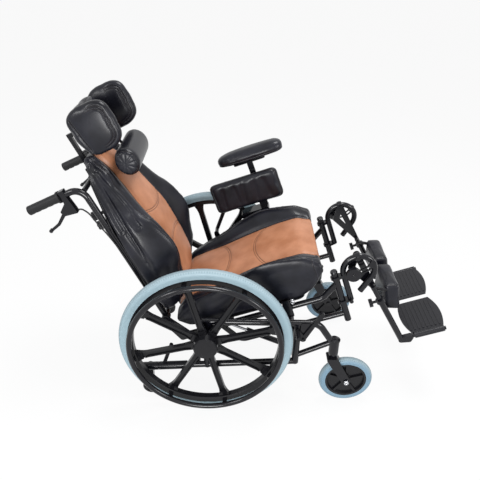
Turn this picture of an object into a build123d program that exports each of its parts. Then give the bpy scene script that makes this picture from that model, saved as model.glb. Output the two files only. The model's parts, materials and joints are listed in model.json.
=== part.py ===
from build123d import *
import os
from math import atan2, cos, degrees, hypot, pi, radians, sin, sqrt

os.makedirs("parts", exist_ok=True)

# Tilt-in-space wheelchair with reclining back, wing headrest and elevating legrests.
# Millimetres. +X is forward, +Y the user's left, +Z up, and the floor is Z = 0.
# X values below count from the rear axle; the origin is the middle of the footprint.
axle_x = -147.18

# ---------------------------------------------------------------- driving dimensions

# rear wheels
wheel_r = 305.0            # 24 inch wheel, tyre included
wheel_y = 300.0            # half the track
tyre_half = 16.0
tyre_depth = 31.0          # from the rim's seat to the tread
tyre_seat_r = wheel_r - tyre_depth
rim_half = 14.0
rim_depth = 20.0
rim_inner_r = tyre_seat_r - rim_depth
spoke_count = 8
spoke_start = 15.0         # angle of the first spoke
spoke_half = 11.0
spoke_flare = 13.0         # extra half width where a spoke meets the rim
spoke_thick_half = 8.0
groove_depth = 5.0
ridge_width = 5.0
hub_r = 44.0
cap_r = 42.5
cap_out = 40.0             # hub cap face, outboard of the wheel plane
axle_r = 6.0
handrim_r = rim_inner_r + 8.0
handrim_tube_r = 9.5
handrim_out = 45.0

# clearances
run_gap = 0.06             # radial, shaft in its own bore
face_gap = 0.3             # between faces that slide past each other

# base frame
base_y = 246.0
rail_r = 12.0
upright_r = 13.0
top_rail_z = 357.0
bottom_rear = (-225.0, 140.0)
front_x = 324.0
bottom_front_z = 181.0
upright_foot_z = 170.0
foot_bevel = 6.0
rear_upright_foot_z = 150.0
cross_r = 13.0
rear_cross_x = -40.0
front_cross_z = 203.0
brace_r = 10.0
lock_x, lock_z = 344.0, 300.0
lock_shoe_r = 8.0
lock_clear = 10.4          # from the tread to the shoe with the lock open
lock_shoe_angle = 5.32     # of the shoe, seen from the axle

# casters
caster_r = 100.0
caster_tyre_half = 15.0
caster_hub_r = 77.0
caster_rib_in = 15.0
stem_x = 462.0
caster_trail = 58.0
fork_half = 22.0
fork_wall = 4.0
fork_top_z = 207.0
housing_r = 18.0
housing_low_z = 211.0
housing_top_z = 282.0
stem_r = 8.0
caster_axle_r = 5.0

# anti-tippers
sleeve_r = 15.5
tipper_wheel_r = 33.0
tipper_arm_x = -214.0
tipper_wheel_z = 44.0

# seat, a frame tilted about the pivot bolts
seat_x, seat_z = 319.0, 402.0
seat_tilt = 20.0
seat_y = 200.0
seat_rail_r = 11.0
seat_rear_u = -445.0
lower_rail_v = -88.0
post_u = 160.0
post_low_v = -120.0
post_top_v = 94.0
post_r = 12.0
pivot_u, pivot_v = -30.0, -101.0
pivot_bolt_r = 6.0
cushion_half = 222.0
cushion_bottom_v = 36.5
pan_thick = 4.0
seam_y = 118.0             # seam between the middle panel and a bolster

# back, hinged behind the seat
back_x, back_z = -200.0, 450.0
back_lean = 26.0
hinge_u, hinge_v = -466.0, 96.0
post_y = 190.0
back_post_r = 11.0
handle_s = 438.0
handle_end_n = -203.0
grip_r = 16.0
grip_length = 121.0
grip_flange = 8.0
finger_r = 13.0
finger_depth = 3.0
panel_thick = 4.0

# headrest
stem_half = 7.0
carrier_n = -31.0

# legrests
leg_y = 200.0
arch_u, arch_v = 244.0, 76.0
arch_r = 54.0
arch_tube_r = 10.5
elevate_u, elevate_v = 251.0, 129.5
sleeve_start = (273.0, 0.0)
shin_lean = 10.65          # shin tube, ahead of the seat's own upright
rod_upper_r = 8.5
rod_upper_end = 190.0
shin_r = 11.0
shin_top = 70.0
shin_length = 286.0
collar_r = 14.0
pad_pin_out = 26.0
foot_v = -272.0
foot_barrel_r = 11.0
foot_pin_r = 7.0

# armrest, left side, and the empty socket for one on the right
arm_plate_y = 226.0
arm_y = 272.0
arm_post_long, arm_post_thick = 24.0, 10.0
receiver_u, receiver_y = -30.0, -226.5
receiver_low_v, receiver_top_v = -20.0, 52.0
receiver_wall = 2.0


# ---------------------------------------------------------------- planes and small helpers

def leaning_plane(x, z, lean, y):
    """Side plane at y: local x runs forward along the lean, local y up, normal to the right."""
    run, rise = cos(radians(lean)), sin(radians(lean))
    return Plane(origin=(axle_x + x, y, z), x_dir=(run, 0, rise), z_dir=(0, -1, 0))


def side_plane(y):
    return leaning_plane(0, 0, 0, y)


def seat_side(y):
    return leaning_plane(seat_x, seat_z, seat_tilt, y)


def back_side(y):
    return leaning_plane(back_x, back_z, back_lean, y)


def across_seat(u):
    """Plane across the seat at distance u along it: local x is +Y, local y is seat-up."""
    base = seat_side(0)
    return Plane(origin=base.from_local_coords((u, 0, 0)), x_dir=(0, 1, 0), z_dir=base.x_dir)


def across_back(s):
    """Plane across the back at height s: local x is +Y, local y is towards the sitter."""
    base = back_side(0)
    return Plane(origin=base.from_local_coords((0, s, 0)), x_dir=(0, 1, 0), z_dir=-base.y_dir)


def tube(plane, points, radius, bend=40, mode=Mode.ADD):
    """Round bar along a route of local points, with its corners bent to one radius."""
    with BuildLine(plane) as route:
        if len(points) == 2:
            Line(points[0], points[1])
        else:
            FilletPolyline(*points, radius=bend)
    with BuildSketch(Plane(origin=route.line @ 0, z_dir=route.line % 0)) as section:
        Circle(radius)
    sweep(sections=section.sketch, path=route.line, mode=mode)


def cross_cylinder(plane_at, u, v, y_from, y_to, radius, mode=Mode.ADD):
    """Cylinder along Y between two y values, at a point of a side plane."""
    low, high = min(y_from, y_to), max(y_from, y_to)
    with BuildSketch(plane_at(high)) as section:
        with Locations((u, v)):
            Circle(radius)
    extrude(section.sketch, amount=high - low, mode=mode)


def plate(plane_at, y_from, y_to, circles, mode=Mode.ADD):
    """Flat plate between two y values whose outline wraps a few circles (u, v, radius)."""
    low, high = min(y_from, y_to), max(y_from, y_to)
    with BuildSketch(plane_at(high)) as section:
        for u, v, radius in circles:
            with Locations((u, v)):
                Circle(radius)
        make_hull()
    extrude(section.sketch, amount=high - low, mode=mode)


def save(builder, name):
    builder.part.label = name
    export_step(builder.part, f"parts/{name}.step")


sides = {"left": 1, "right": -1}
hinge_point = back_side(0).to_local_coords(seat_side(0).from_local_coords((hinge_u, hinge_v, 0)))
hinge_n, hinge_s = hinge_point.X, hinge_point.Y
pivot_point = seat_side(0).from_local_coords((pivot_u, pivot_v, 0))
pivot_x, pivot_z = pivot_point.X - axle_x, pivot_point.Z


def rail_point(x):
    """Point of the straight bottom rail's axis at x."""
    rise = (bottom_front_z - bottom_rear[1]) / (front_x - bottom_rear[0])
    return (x, bottom_rear[1] + (x - bottom_rear[0]) * rise)


# ---------------------------------------------------------------- rear wheels

def wheel_section_plane():
    """Section through the wheel axis: local x is +Y, local y is up from the axle."""
    return Plane(origin=(axle_x, 0, wheel_r), x_dir=(0, 1, 0), z_dir=(1, 0, 0))


wheel_axis = Axis(origin=(axle_x, 0, wheel_r), direction=(0, 1, 0))


def rear_tyre(side):
    y = side * wheel_y
    shoulder = wheel_r - 17
    with BuildPart() as tyre:
        with BuildSketch(wheel_section_plane()):
            with BuildLine():
                Line((y - rim_half, tyre_seat_r), (y + rim_half, tyre_seat_r))
                Line((y + rim_half, tyre_seat_r), (y + tyre_half, shoulder))
                ThreePointArc((y + tyre_half, shoulder), (y, wheel_r), (y - tyre_half, shoulder))
                Line((y - tyre_half, shoulder), (y - rim_half, tyre_seat_r))
            make_face()
        revolve(axis=wheel_axis)
    return tyre


def spoke_sketch(inset):
    """One spoke lying along +X: straight, flaring into the rim. Inset gives the groove."""
    root, tip = hub_r - 8 + inset * 4, rim_inner_r + 4 - inset * 5
    half = spoke_half - inset
    flare_start = rim_inner_r - 44
    tip_half = half + spoke_flare
    with BuildSketch() as sketch:
        with BuildLine():
            Line((root, half + 5), (hub_r + 34, half))
            Line((hub_r + 34, half), (flare_start, half))
            TangentArc((flare_start, half), (tip, tip_half), tangent=(1, 0))
            Line((tip, tip_half), (tip, -tip_half))
            TangentArc((flare_start, -half), (tip, -tip_half), tangent=(1, 0))
            Line((flare_start, -half), (hub_r + 34, -half))
            Line((hub_r + 34, -half), (root, -half - 5))
            Line((root, -half - 5), (root, half + 5))
        make_face()
    return sketch.sketch


def mag_wheel(side):
    """Moulded wheel: rim, eight grooved spokes, hub with its cap, and the quick-release pin."""
    y = side * wheel_y
    hub_plane = Plane(origin=(axle_x, y, wheel_r), x_dir=(1, 0, 0), z_dir=(0, side, 0))
    first = side * spoke_start if side > 0 else spoke_start
    turn = -1 if side > 0 else 1
    with BuildPart() as wheel:
        with BuildSketch(wheel_section_plane()):
            with BuildLine():
                Polyline((y - rim_half, tyre_seat_r), (y + rim_half, tyre_seat_r),
                         (y + rim_half, rim_inner_r + 3), (y + rim_half - 3, rim_inner_r),
                         (y - rim_half + 3, rim_inner_r), (y - rim_half, rim_inner_r + 3), close=True)
            make_face()
        revolve(axis=wheel_axis)
        with BuildSketch(hub_plane.offset(-spoke_thick_half)):
            with PolarLocations(0, spoke_count, start_angle=turn * first):
                add(spoke_sketch(0))
        extrude(amount=2 * spoke_thick_half)
        with BuildSketch(hub_plane.offset(spoke_thick_half - groove_depth)):
            with PolarLocations(0, spoke_count, start_angle=turn * first):
                add(spoke_sketch(ridge_width))
        extrude(amount=groove_depth, mode=Mode.SUBTRACT)
        with BuildSketch(wheel_section_plane()):
            with BuildLine():
                Polyline((y - side * 24, 0), (y - side * 24, 22), (y - side * 12, 38),
                         (y + side * 12, hub_r), (y + side * (cap_out - 6), cap_r),
                         (y + side * (cap_out - 1), cap_r - 3), (y + side * cap_out, 20),
                         (y + side * cap_out, 0), close=True)
            make_face()
        revolve(axis=wheel_axis)
        pin_end = side * (base_y - 14)
        cross_cylinder(side_plane, 0, wheel_r, y - side * 23, pin_end, axle_r)
    return wheel


def handrim():
    """Left hand rim on short tabs, one at each spoke."""
    y = wheel_y + handrim_out
    rim_face = wheel_y + rim_half
    with BuildPart() as rim:
        for k in range(spoke_count):
            angle = radians(spoke_start + 360 / spoke_count * k)
            tab_r = rim_inner_r + 7
            tab_at = (axle_x + tab_r * cos(angle), rim_face, wheel_r + tab_r * sin(angle))
            with BuildSketch(Plane(origin=tab_at, x_dir=(-sin(angle), 0, cos(angle)), z_dir=(0, 1, 0))):
                Rectangle(16, 6)
            extrude(amount=handrim_out - rim_half - 3)
        with BuildSketch(wheel_section_plane()):
            with Locations((y, handrim_r)):
                Circle(handrim_tube_r)
        revolve(axis=wheel_axis)
    return rim


for name, side in sides.items():
    save(rear_tyre(side), f"rear_tyre_{name}")
    save(mag_wheel(side), f"mag_wheel_{name}")

handrim_left = handrim()
with BuildPart() as handrim_right:
    mirror(handrim_left.part, about=Plane.XZ)
save(handrim_left, "handrim_left")
save(handrim_right, "handrim_right")


# ---------------------------------------------------------------- base frame

brace_route = [(front_x, 208), (stem_x, 280)]


def base_side(side):
    """Welded side of the base: rails, uprights, axle sleeve, caster housing, wheel-lock bracket."""
    y = side * base_y
    housing_z = (housing_top_z + housing_low_z) / 2
    with BuildPart() as base:
        tube(side_plane(y), [(-22, top_rail_z), (398, top_rail_z), (stem_x - 6, 268)], rail_r, 55)
        tube(side_plane(y), [bottom_rear, (front_x, bottom_front_z)], rail_r)
        tube(side_plane(y), [rail_point(-180), rail_point(-75)], sleeve_r)
        tube(side_plane(y), [(0, rear_upright_foot_z), (0, top_rail_z)], upright_r)
        tube(side_plane(y), [(front_x, upright_foot_z + foot_bevel), (front_x, top_rail_z)], upright_r)
        with BuildSketch(Plane(origin=(axle_x + front_x, y, upright_foot_z + foot_bevel),
                               x_dir=(1, 0, 0), z_dir=(0, 0, -1))):
            Circle(upright_r)
        extrude(amount=foot_bevel, taper=45)
        tube(side_plane(y), brace_route, brace_r)
        # peg for the attendant's foot, used to tip the chair over a kerb
        tube(side_plane(y), [rail_point(-165), (-130, 249)], 7)
        # axle plate
        outer = side * (base_y + upright_r)
        plate(side_plane, outer - side * 2, outer + side * 3,
              [(0, wheel_r - 55, 22), (0, wheel_r + 40, 22)])
        cross_cylinder(side_plane, 0, wheel_r, side * (base_y - upright_r - 1), outer + side * 6, 14)
        cross_cylinder(side_plane, 0, wheel_r, side * (base_y - 20), outer + side * 7,
                       axle_r + run_gap, Mode.SUBTRACT)
        # caster housing with its cap
        with BuildSketch(Plane(origin=(axle_x + stem_x, y, 0), x_dir=(1, 0, 0), z_dir=(0, -1, 0))):
            with BuildLine():
                Polyline((0, housing_low_z), (15, housing_low_z), (housing_r, housing_low_z + 14),
                         (housing_r, housing_top_z), (housing_r + 2, housing_top_z),
                         (housing_r + 2, housing_top_z + 5), (housing_r - 7, housing_top_z + 10),
                         (0, housing_top_z + 11), close=True)
            make_face()
        revolve(axis=Axis(origin=(axle_x + stem_x, y, 0), direction=(0, 0, 1)))
        with BuildSketch(Plane(origin=(axle_x + stem_x, y, housing_low_z - 1))):
            Circle(stem_r + run_gap)
        extrude(amount=housing_z - housing_low_z + 28, mode=Mode.SUBTRACT)
        # pivot bolt and spacer that the seat tilts about, and the bolt's outer head
        cross_cylinder(side_plane, pivot_x, pivot_z, side * (seat_y - 12), y, pivot_bolt_r)
        cross_cylinder(side_plane, pivot_x, pivot_z, side * (seat_y + 13 + face_gap), y, 10)
        cross_cylinder(side_plane, pivot_x, pivot_z, y, y + side * (upright_r + 2), 9)
        # bracket of the wheel lock, on the top rail's outer face
        plate(side_plane, side * (base_y + 9), side * (base_y + 15),
              [(lock_x, lock_z, 12), (342, top_rail_z, 9), (368, top_rail_z, 9)])
        cross_cylinder(side_plane, lock_x, lock_z, side * (base_y + 12), side * (base_y + 27), 4.5)
    return base


for name, side in sides.items():
    save(base_side(side), f"base_side_{name}")

# gas spring that holds the tilt: base end, and where its rod meets the seat
tilt_base = (290.0, 192.0)
tilt_seat_local = (-289.0, -8.0)
tilt_spring_y = -165.0
tilt_seat_point = seat_side(0).from_local_coords((tilt_seat_local[0], tilt_seat_local[1], 0))
tilt_seat = (tilt_seat_point.X - axle_x, tilt_seat_point.Z)
spring_r = 11.0
rod_r = 5.0
eye_r = 9.0
eye_half = 6.0
clevis_wall = 4.0

with BuildPart() as base_cross_tubes:
    for x, z in ((front_x, front_cross_z), (rear_cross_x, rail_point(rear_cross_x)[1])):
        cross_cylinder(side_plane, x, z, 8 - base_y, base_y - 8, cross_r)
    for wall in (eye_half + face_gap, -eye_half - face_gap - clevis_wall):
        plate(side_plane, tilt_spring_y + wall, tilt_spring_y + wall + clevis_wall,
              [(tilt_base[0], tilt_base[1], eye_r), (front_x, front_cross_z, cross_r)])
    cross_cylinder(side_plane, tilt_base[0], tilt_base[1], tilt_spring_y - eye_half - 2,
                   tilt_spring_y + eye_half + 2, rod_r)
    # ends shaped to the rails and uprights they are welded to
    for side in sides.values():
        y = side * base_y
        tube(side_plane(y), [bottom_rear, (front_x + 20, rail_point(front_x + 20)[1])], rail_r,
             mode=Mode.SUBTRACT)
        tube(side_plane(y), [(front_x, upright_foot_z - 20), (front_x, top_rail_z)], upright_r,
             mode=Mode.SUBTRACT)
        tube(side_plane(y), brace_route, brace_r, mode=Mode.SUBTRACT)
save(base_cross_tubes, "base_cross_tubes")


lock_reach = wheel_r + lock_clear + lock_shoe_r
lock_shoe = (lock_reach * cos(radians(lock_shoe_angle)),
             wheel_r + lock_reach * sin(radians(lock_shoe_angle)))


def lock_lever(side):
    """Wheel-lock lever: hub on the bracket's stud, handle up and forward, shoe before the tyre."""
    inner = side * (base_y + 15 + face_gap)
    middle, outer = inner + side * 6, side * (base_y + 26)
    with BuildPart() as lever:
        plate(side_plane, inner, middle, [(lock_x, lock_z, 11), (*lock_shoe, lock_shoe_r)])
        plate(side_plane, inner, middle, [(lock_x, lock_z, 9), (390, 386, 6)])
        cross_cylinder(side_plane, *lock_shoe, inner, side * (wheel_y + tyre_half - 4), lock_shoe_r)
        plate(side_plane, inner, outer, [(390, 386, 8), (402, 410, 9)])
        cross_cylinder(side_plane, lock_x, lock_z, inner - side, outer + side, 4.5 + run_gap,
                       Mode.SUBTRACT)
    return lever


for name, side in sides.items():
    save(lock_lever(side), f"lock_lever_{name}")


# ---------------------------------------------------------------- casters

caster_x = stem_x + caster_trail
caster_axis_left = Axis(origin=(axle_x + caster_x, 0, caster_r), direction=(0, 1, 0))


def caster_fork(side):
    """Fork of two slanting cheeks under a crown, with its stem and the wheel's axle bolt."""
    y = side * base_y
    with BuildPart() as fork:
        plate(side_plane, y - fork_half, y + fork_half,
              [(caster_x, caster_r, 16), (stem_x - 16, fork_top_z - 6, 6), (stem_x + 14, fork_top_z - 6, 6)])
        with BuildSketch(Plane(origin=(axle_x + stem_x, y, 0))):
            with Locations((30, 0)):
                Rectangle(220, 2 * (fork_half - fork_wall))
        extrude(amount=fork_top_z - 9, mode=Mode.SUBTRACT)
        with BuildSketch(Plane(origin=(axle_x + stem_x, y, fork_top_z - 4))):
            Circle(14)
        extrude(amount=housing_low_z - fork_top_z + 4 - face_gap)
        with BuildSketch(Plane(origin=(axle_x + stem_x, y, fork_top_z - 4))):
            Circle(stem_r)
        extrude(amount=housing_top_z - fork_top_z - 14)
        cross_cylinder(side_plane, caster_x, caster_r, y - fork_half - 5, y + fork_half + 5, caster_axle_r)
        for end in (-1, 1):
            with BuildSketch(side_plane(y + end * (fork_half + 2.5) + 2.5)):
                with Locations((caster_x, caster_r)):
                    RegularPolygon(9, 6)
            extrude(amount=5)
    return fork


def caster_hub(side):
    """Moulded caster hub: rim, thin web and five ribs."""
    y = side * base_y
    section = Plane(origin=(axle_x + caster_x, 0, caster_r), x_dir=(0, 1, 0), z_dir=(1, 0, 0))
    with BuildPart() as hub:
        with BuildSketch(section):
            with BuildLine():
                Polyline((y - 13, caster_hub_r), (y + 13, caster_hub_r), (y + 13, caster_hub_r - 8),
                         (y + 4, caster_hub_r - 12), (y + 4, 20), (y + 15, 17),
                         (y + fork_half - fork_wall - face_gap, 13), (y + fork_half - fork_wall - face_gap, 0),
                         (y - fork_half + fork_wall + face_gap, 0),
                         (y - fork_half + fork_wall + face_gap, 13),
                         (y - 15, 17), (y - 4, 20), (y - 4, caster_hub_r - 12),
                         (y - 13, caster_hub_r - 8), close=True)
            make_face()
        revolve(axis=caster_axis_left)
        rib_out = caster_hub_r - 10
        with BuildSketch(side_plane(y + 11)):
            with Locations((caster_x, caster_r)):
                with PolarLocations((caster_rib_in + rib_out) / 2, 5, start_angle=18):
                    Rectangle(rib_out - caster_rib_in, 9)
        extrude(amount=22)
        cross_cylinder(side_plane, caster_x, caster_r, y - 30, y + 30, caster_axle_r + run_gap, Mode.SUBTRACT)
    return hub


def caster_tyre(side):
    y = side * base_y
    section = Plane(origin=(axle_x + caster_x, 0, caster_r), x_dir=(0, 1, 0), z_dir=(1, 0, 0))
    shoulder = caster_r - 13
    with BuildPart() as tyre:
        with BuildSketch(section):
            with BuildLine():
                Line((y - 13, caster_hub_r), (y + 13, caster_hub_r))
                Line((y + 13, caster_hub_r), (y + caster_tyre_half, shoulder))
                ThreePointArc((y + caster_tyre_half, shoulder), (y, caster_r), (y - caster_tyre_half, shoulder))
                Line((y - caster_tyre_half, shoulder), (y - 13, caster_hub_r))
            make_face()
        revolve(axis=caster_axis_left)
    return tyre


for name, side in sides.items():
    save(caster_fork(side), f"caster_fork_{name}")
    save(caster_hub(side), f"caster_hub_{name}")
    save(caster_tyre(side), f"caster_tyre_{name}")


# ---------------------------------------------------------------- anti-tippers

def tipper_arm(side):
    """Sleeve that turns on the rail's rear end, with a fork and the axle of its small wheel."""
    y = side * base_y
    with BuildPart() as arm:
        tube(side_plane(y), [rail_point(-243), rail_point(-183)], sleeve_r)
        plate(side_plane, y - 13, y + 13,
              [(tipper_arm_x, rail_point(tipper_arm_x)[1], 12), (tipper_arm_x, tipper_wheel_z, 11)])
        with BuildSketch(Plane(origin=(axle_x + tipper_arm_x, y, 0))):
            Rectangle(60, 19)
        extrude(amount=tipper_wheel_z + tipper_wheel_r + 5, mode=Mode.SUBTRACT)
        cross_cylinder(side_plane, tipper_arm_x, tipper_wheel_z, y - 14, y + 14, 4)
        tube_gap = rail_r + run_gap
        with BuildSketch(Plane(origin=side_plane(y).from_local_coords((*rail_point(-225.3), 0)),
                               z_dir=side_plane(y).from_local_coords((*rail_point(-182), 0))
                               - side_plane(y).from_local_coords((*rail_point(-225.3), 0)))):
            Circle(tube_gap)
        extrude(amount=60, mode=Mode.SUBTRACT)
    return arm


def tipper_wheel(side):
    y = side * base_y
    section = Plane(origin=(axle_x + tipper_arm_x, 0, tipper_wheel_z), x_dir=(0, 1, 0), z_dir=(1, 0, 0))
    half = 9.2
    with BuildPart() as wheel:
        with BuildSketch(section):
            with BuildLine():
                Polyline((y - half, 4 + run_gap), (y + half, 4 + run_gap), (y + half, 12), (y + 6, 14),
                         (y + 6, 20), (y + half, 22), (y + half, tipper_wheel_r - 3),
                         (y + half - 3, tipper_wheel_r), (y - half + 3, tipper_wheel_r),
                         (y - half, tipper_wheel_r - 3), (y - half, 22), (y - 6, 20), (y - 6, 14),
                         (y - half, 12), close=True)
            make_face()
        revolve(axis=Axis(origin=(axle_x + tipper_arm_x, 0, tipper_wheel_z), direction=(0, 1, 0)))
    return wheel


for name, side in sides.items():
    save(tipper_arm(side), f"tipper_arm_{name}")
    save(tipper_wheel(side), f"tipper_wheel_{name}")


# ---------------------------------------------------------------- seat frame

lower_rail = [(-285, 0), (-240, lower_rail_v), (post_u, lower_rail_v)]


def seat_side_frame(side):
    """Seat side: upper rail bent up to the legrest post, lower rail, tilt boss, back-hinge plate."""
    y = side * seat_y
    with BuildPart() as frame:
        tube(seat_side(y), [(seat_rear_u, 0), (96, 0), (post_u, 46)], seat_rail_r, 45)
        tube(seat_side(y), lower_rail, seat_rail_r - 1)
        tube(seat_side(y), [(post_u, post_low_v), (post_u, post_top_v)], post_r)
        cap = seat_side(y).from_local_coords((post_u, post_top_v, 0))
        with BuildSketch(Plane(origin=cap, z_dir=seat_side(y).y_dir)):
            Circle(post_r + 1)
        extrude(amount=5, taper=20)
        cross_cylinder(seat_side, pivot_u, pivot_v, y - side * 11, y + side * 13, 16)
        cross_cylinder(seat_side, pivot_u, pivot_v, y - side * 30, y + side * 30,
                       pivot_bolt_r + run_gap, Mode.SUBTRACT)
        hinge_plate_y = y + side * 9
        plate(seat_side, hinge_plate_y, hinge_plate_y + side * 5,
              [(hinge_u, hinge_v, 17), (seat_rear_u + 8, 0, 11), (seat_rear_u + 45, 0, 9)])
        cross_cylinder(seat_side, hinge_u, hinge_v, side * (post_y - 7), hinge_plate_y + side * 10, 6)
        cross_cylinder(seat_side, hinge_u, hinge_v, hinge_plate_y + side * 4, hinge_plate_y + side * 10, 10)
    return frame


seat_side_left = seat_side_frame(sides["left"])
with BuildPart() as seat_side_right:
    add(seat_side_frame(sides["right"]).part)
    # rectangular tube beside the rail, open at both ends, on a spacer
    spot = seat_side(receiver_y).from_local_coords((receiver_u, receiver_low_v, 0))
    with BuildSketch(Plane(origin=spot, x_dir=seat_side(0).x_dir, z_dir=seat_side(0).y_dir)):
        RectangleRounded(arm_post_long + 2 * receiver_wall, arm_post_thick + 2 * receiver_wall, 2)
        Rectangle(arm_post_long + 2 * run_gap, arm_post_thick + 2 * run_gap, mode=Mode.SUBTRACT)
    extrude(amount=receiver_top_v - receiver_low_v)
    cross_cylinder(seat_side, receiver_u, 0, -seat_y, receiver_y + arm_post_thick / 2 + receiver_wall / 2, 8)
save(seat_side_left, "seat_side_left")
save(seat_side_right, "seat_side_right")

# gas spring of the recline: its seat end and its lever end
recline_seat = (-75.0, -30.0)
recline_lever = (-457.0, 5.0)
seat_cross_v = seat_rail_r + 10.0
seat_cross_front, seat_cross_rear = -60.0, -240.0

with BuildPart() as seat_cross_tubes:
    for u in (seat_cross_front, seat_cross_rear):
        cross_cylinder(seat_side, u, seat_cross_v, -seat_y - 8, seat_y + 8, 10)
    for wall in (eye_half + face_gap, -eye_half - face_gap - clevis_wall):
        plate(seat_side, wall, wall + clevis_wall,
              [(recline_seat[0], recline_seat[1], eye_r), (seat_cross_front, seat_cross_v, 8)])
    cross_cylinder(seat_side, recline_seat[0], recline_seat[1], -eye_half - 2, eye_half + 2, rod_r)
    plate(seat_side, tilt_spring_y + eye_half + face_gap, tilt_spring_y + eye_half + face_gap + clevis_wall,
          [(tilt_seat_local[0], tilt_seat_local[1], eye_r), (seat_cross_rear, seat_cross_v, 8)])
save(seat_cross_tubes, "seat_cross_tubes")

pan_low_v = seat_cross_v + 10.0
with BuildPart() as seat_pan:
    with BuildSketch(Plane(origin=seat_side(0).from_local_coords((0, pan_low_v, 0)),
                           x_dir=seat_side(0).x_dir, z_dir=seat_side(0).y_dir)):
        with Locations((-160, 0)):
            RectangleRounded(400, 2 * (cushion_half - 8), 24)
        with Locations((-330, 0)):
            with GridLocations(0, 90, 1, 4):
                SlotOverall(50, 14, mode=Mode.SUBTRACT)
        with Locations((-30, 0)):
            with GridLocations(0, 90, 1, 4):
                SlotOverall(50, 14, mode=Mode.SUBTRACT)
    extrude(amount=pan_thick)
save(seat_pan, "seat_pan")


def padded_section(plane, half, low, side_top, crest, valley, middle, seam):
    """Cushion cross-section: flat underside, bulging sides, two bolsters and a crowned middle."""
    pull = 9.0
    mid_side = (low + side_top) / 2
    crest_y = (half + seam) / 2 + 4
    with BuildSketch(plane) as section:
        with BuildLine():
            Line((-half + pull, low), (half - pull, low))
            ThreePointArc((half - pull, low), (half, mid_side), (half - pull / 2, side_top))
            ThreePointArc((half - pull / 2, side_top), (crest_y, crest), (seam, valley))
            ThreePointArc((seam, valley), (0, middle), (-seam, valley))
            ThreePointArc((-seam, valley), (-crest_y, crest), (-half + pull / 2, side_top))
            ThreePointArc((-half + pull / 2, side_top), (-half, mid_side), (-half + pull, low))
        make_face()
    return section.sketch


def seat_section(plane, low, side_top, crest_y, crest, valley, middle):
    """Seat cross-section: as above, with steep bolsters that crest near the cushion's edges."""
    half, pull, swell = cushion_half, 9.0, 3.0
    brim, mid_side = half - pull / 2, (low + side_top) / 2
    corner = ((brim + crest_y) / 2 + swell, (side_top + crest) / 2 + swell)
    slope = ((crest_y + seam_y) / 2, (crest + valley) / 2 + swell)
    with BuildSketch(plane) as section:
        with BuildLine():
            Line((-half + pull, low), (half - pull, low))
            ThreePointArc((half - pull, low), (half, mid_side), (brim, side_top))
            ThreePointArc((brim, side_top), corner, (crest_y, crest))
            ThreePointArc((crest_y, crest), slope, (seam_y, valley))
            ThreePointArc((seam_y, valley), (0, middle), (-seam_y, valley))
            ThreePointArc((-seam_y, valley), (-slope[0], slope[1]), (-crest_y, crest))
            ThreePointArc((-crest_y, crest), (-corner[0], corner[1]), (-brim, side_top))
            ThreePointArc((-brim, side_top), (-half, mid_side), (-half + pull, low))
        make_face()
    return section.sketch


# stations along the seat: u, underside, side seam, crest's place and height, panel seam, panel crown
seat_stations = (
    (-421, 70, 88, 180, 108, 96, 106),
    (-398, 46, 96, 184, 122, 112, 124),
    (-350, cushion_bottom_v, 108, 194, 140, 122, 134),
    (-245, cushion_bottom_v, 124, 204, 166, 132, 144),
    (-140, cushion_bottom_v, 150, 208, 199, 146, 157),
    (-60, cushion_bottom_v, 166, 209, 213, 155, 167),
    (30, cushion_bottom_v, 164, 202, 203, 161, 173),
    (92, 78, 150, 174, 184, 158, 168),
    (124, 128, 142, 160, 160, 146, 153),
)

with BuildPart() as seat_cushion:
    loft(sections=[seat_section(across_seat(u), *station) for u, *station in seat_stations])
    with BuildSketch(seat_side(cushion_half + 10)):
        with Locations((-160, pan_low_v + pan_thick + face_gap - 30)):
            Rectangle(430, 60)
    extrude(amount=2 * cushion_half + 20, mode=Mode.SUBTRACT)
save(seat_cushion, "seat_cushion")


# ---------------------------------------------------------------- back

post_route = [(hinge_n, hinge_s), (hinge_n, handle_s), (handle_end_n, handle_s)]

with BuildPart() as back_posts:
    # each post bends over into its push handle and has the hinge eye at its foot
    for side in sides.values():
        y = side * post_y
        tube(back_side(y), post_route, back_post_r, 42)
        cross_cylinder(back_side, hinge_n, hinge_s, side * (post_y - 7), side * (seat_y + 9 - face_gap), 16)
        cross_cylinder(back_side, hinge_n, hinge_s, side * (post_y - 30), side * (post_y + 30),
                       6 + run_gap, Mode.SUBTRACT)
save(back_posts, "back_posts")

lever_point = seat_side(0).from_local_coords((recline_lever[0], recline_lever[1], 0))
lever_local = back_side(0).to_local_coords(lever_point)
clamp_low_s, clamp_top_s = 400.0, 446.0
mid_cross_s = 285.0
top_cross_s = 422.0

with BuildPart() as back_crossbars:
    reach = post_y - 4
    cross_cylinder(back_side, hinge_n, hinge_s, -post_y + 7, post_y - 7, 9)
    cross_cylinder(back_side, hinge_n, mid_cross_s, -reach, reach, 9)
    cross_cylinder(back_side, hinge_n, top_cross_s, -reach, reach, 9)
    for wall in (eye_half + face_gap, -eye_half - face_gap - clevis_wall):
        plate(back_side, wall, wall + clevis_wall,
              [(lever_local.X, lever_local.Y, eye_r), (hinge_n, hinge_s, 9)])
    for side in sides.values():
        tube(back_side(side * post_y), post_route, back_post_r, 42, Mode.SUBTRACT)
    # clamp block of the headrest stem
    with BuildSketch(back_side(21)):
        with Locations(((carrier_n + hinge_n - 4) / 2 - 2, (clamp_low_s + clamp_top_s) / 2)):
            RectangleRounded(34, clamp_top_s - clamp_low_s, 5)
    extrude(amount=42)
    with BuildSketch(across_back(clamp_low_s - 2)):
        with Locations((0, carrier_n)):
            Rectangle(2 * (stem_half + run_gap), 2 * (stem_half + run_gap))
    extrude(amount=-(clamp_top_s - clamp_low_s + 4), mode=Mode.SUBTRACT)
save(back_crossbars, "back_crossbars")

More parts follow.
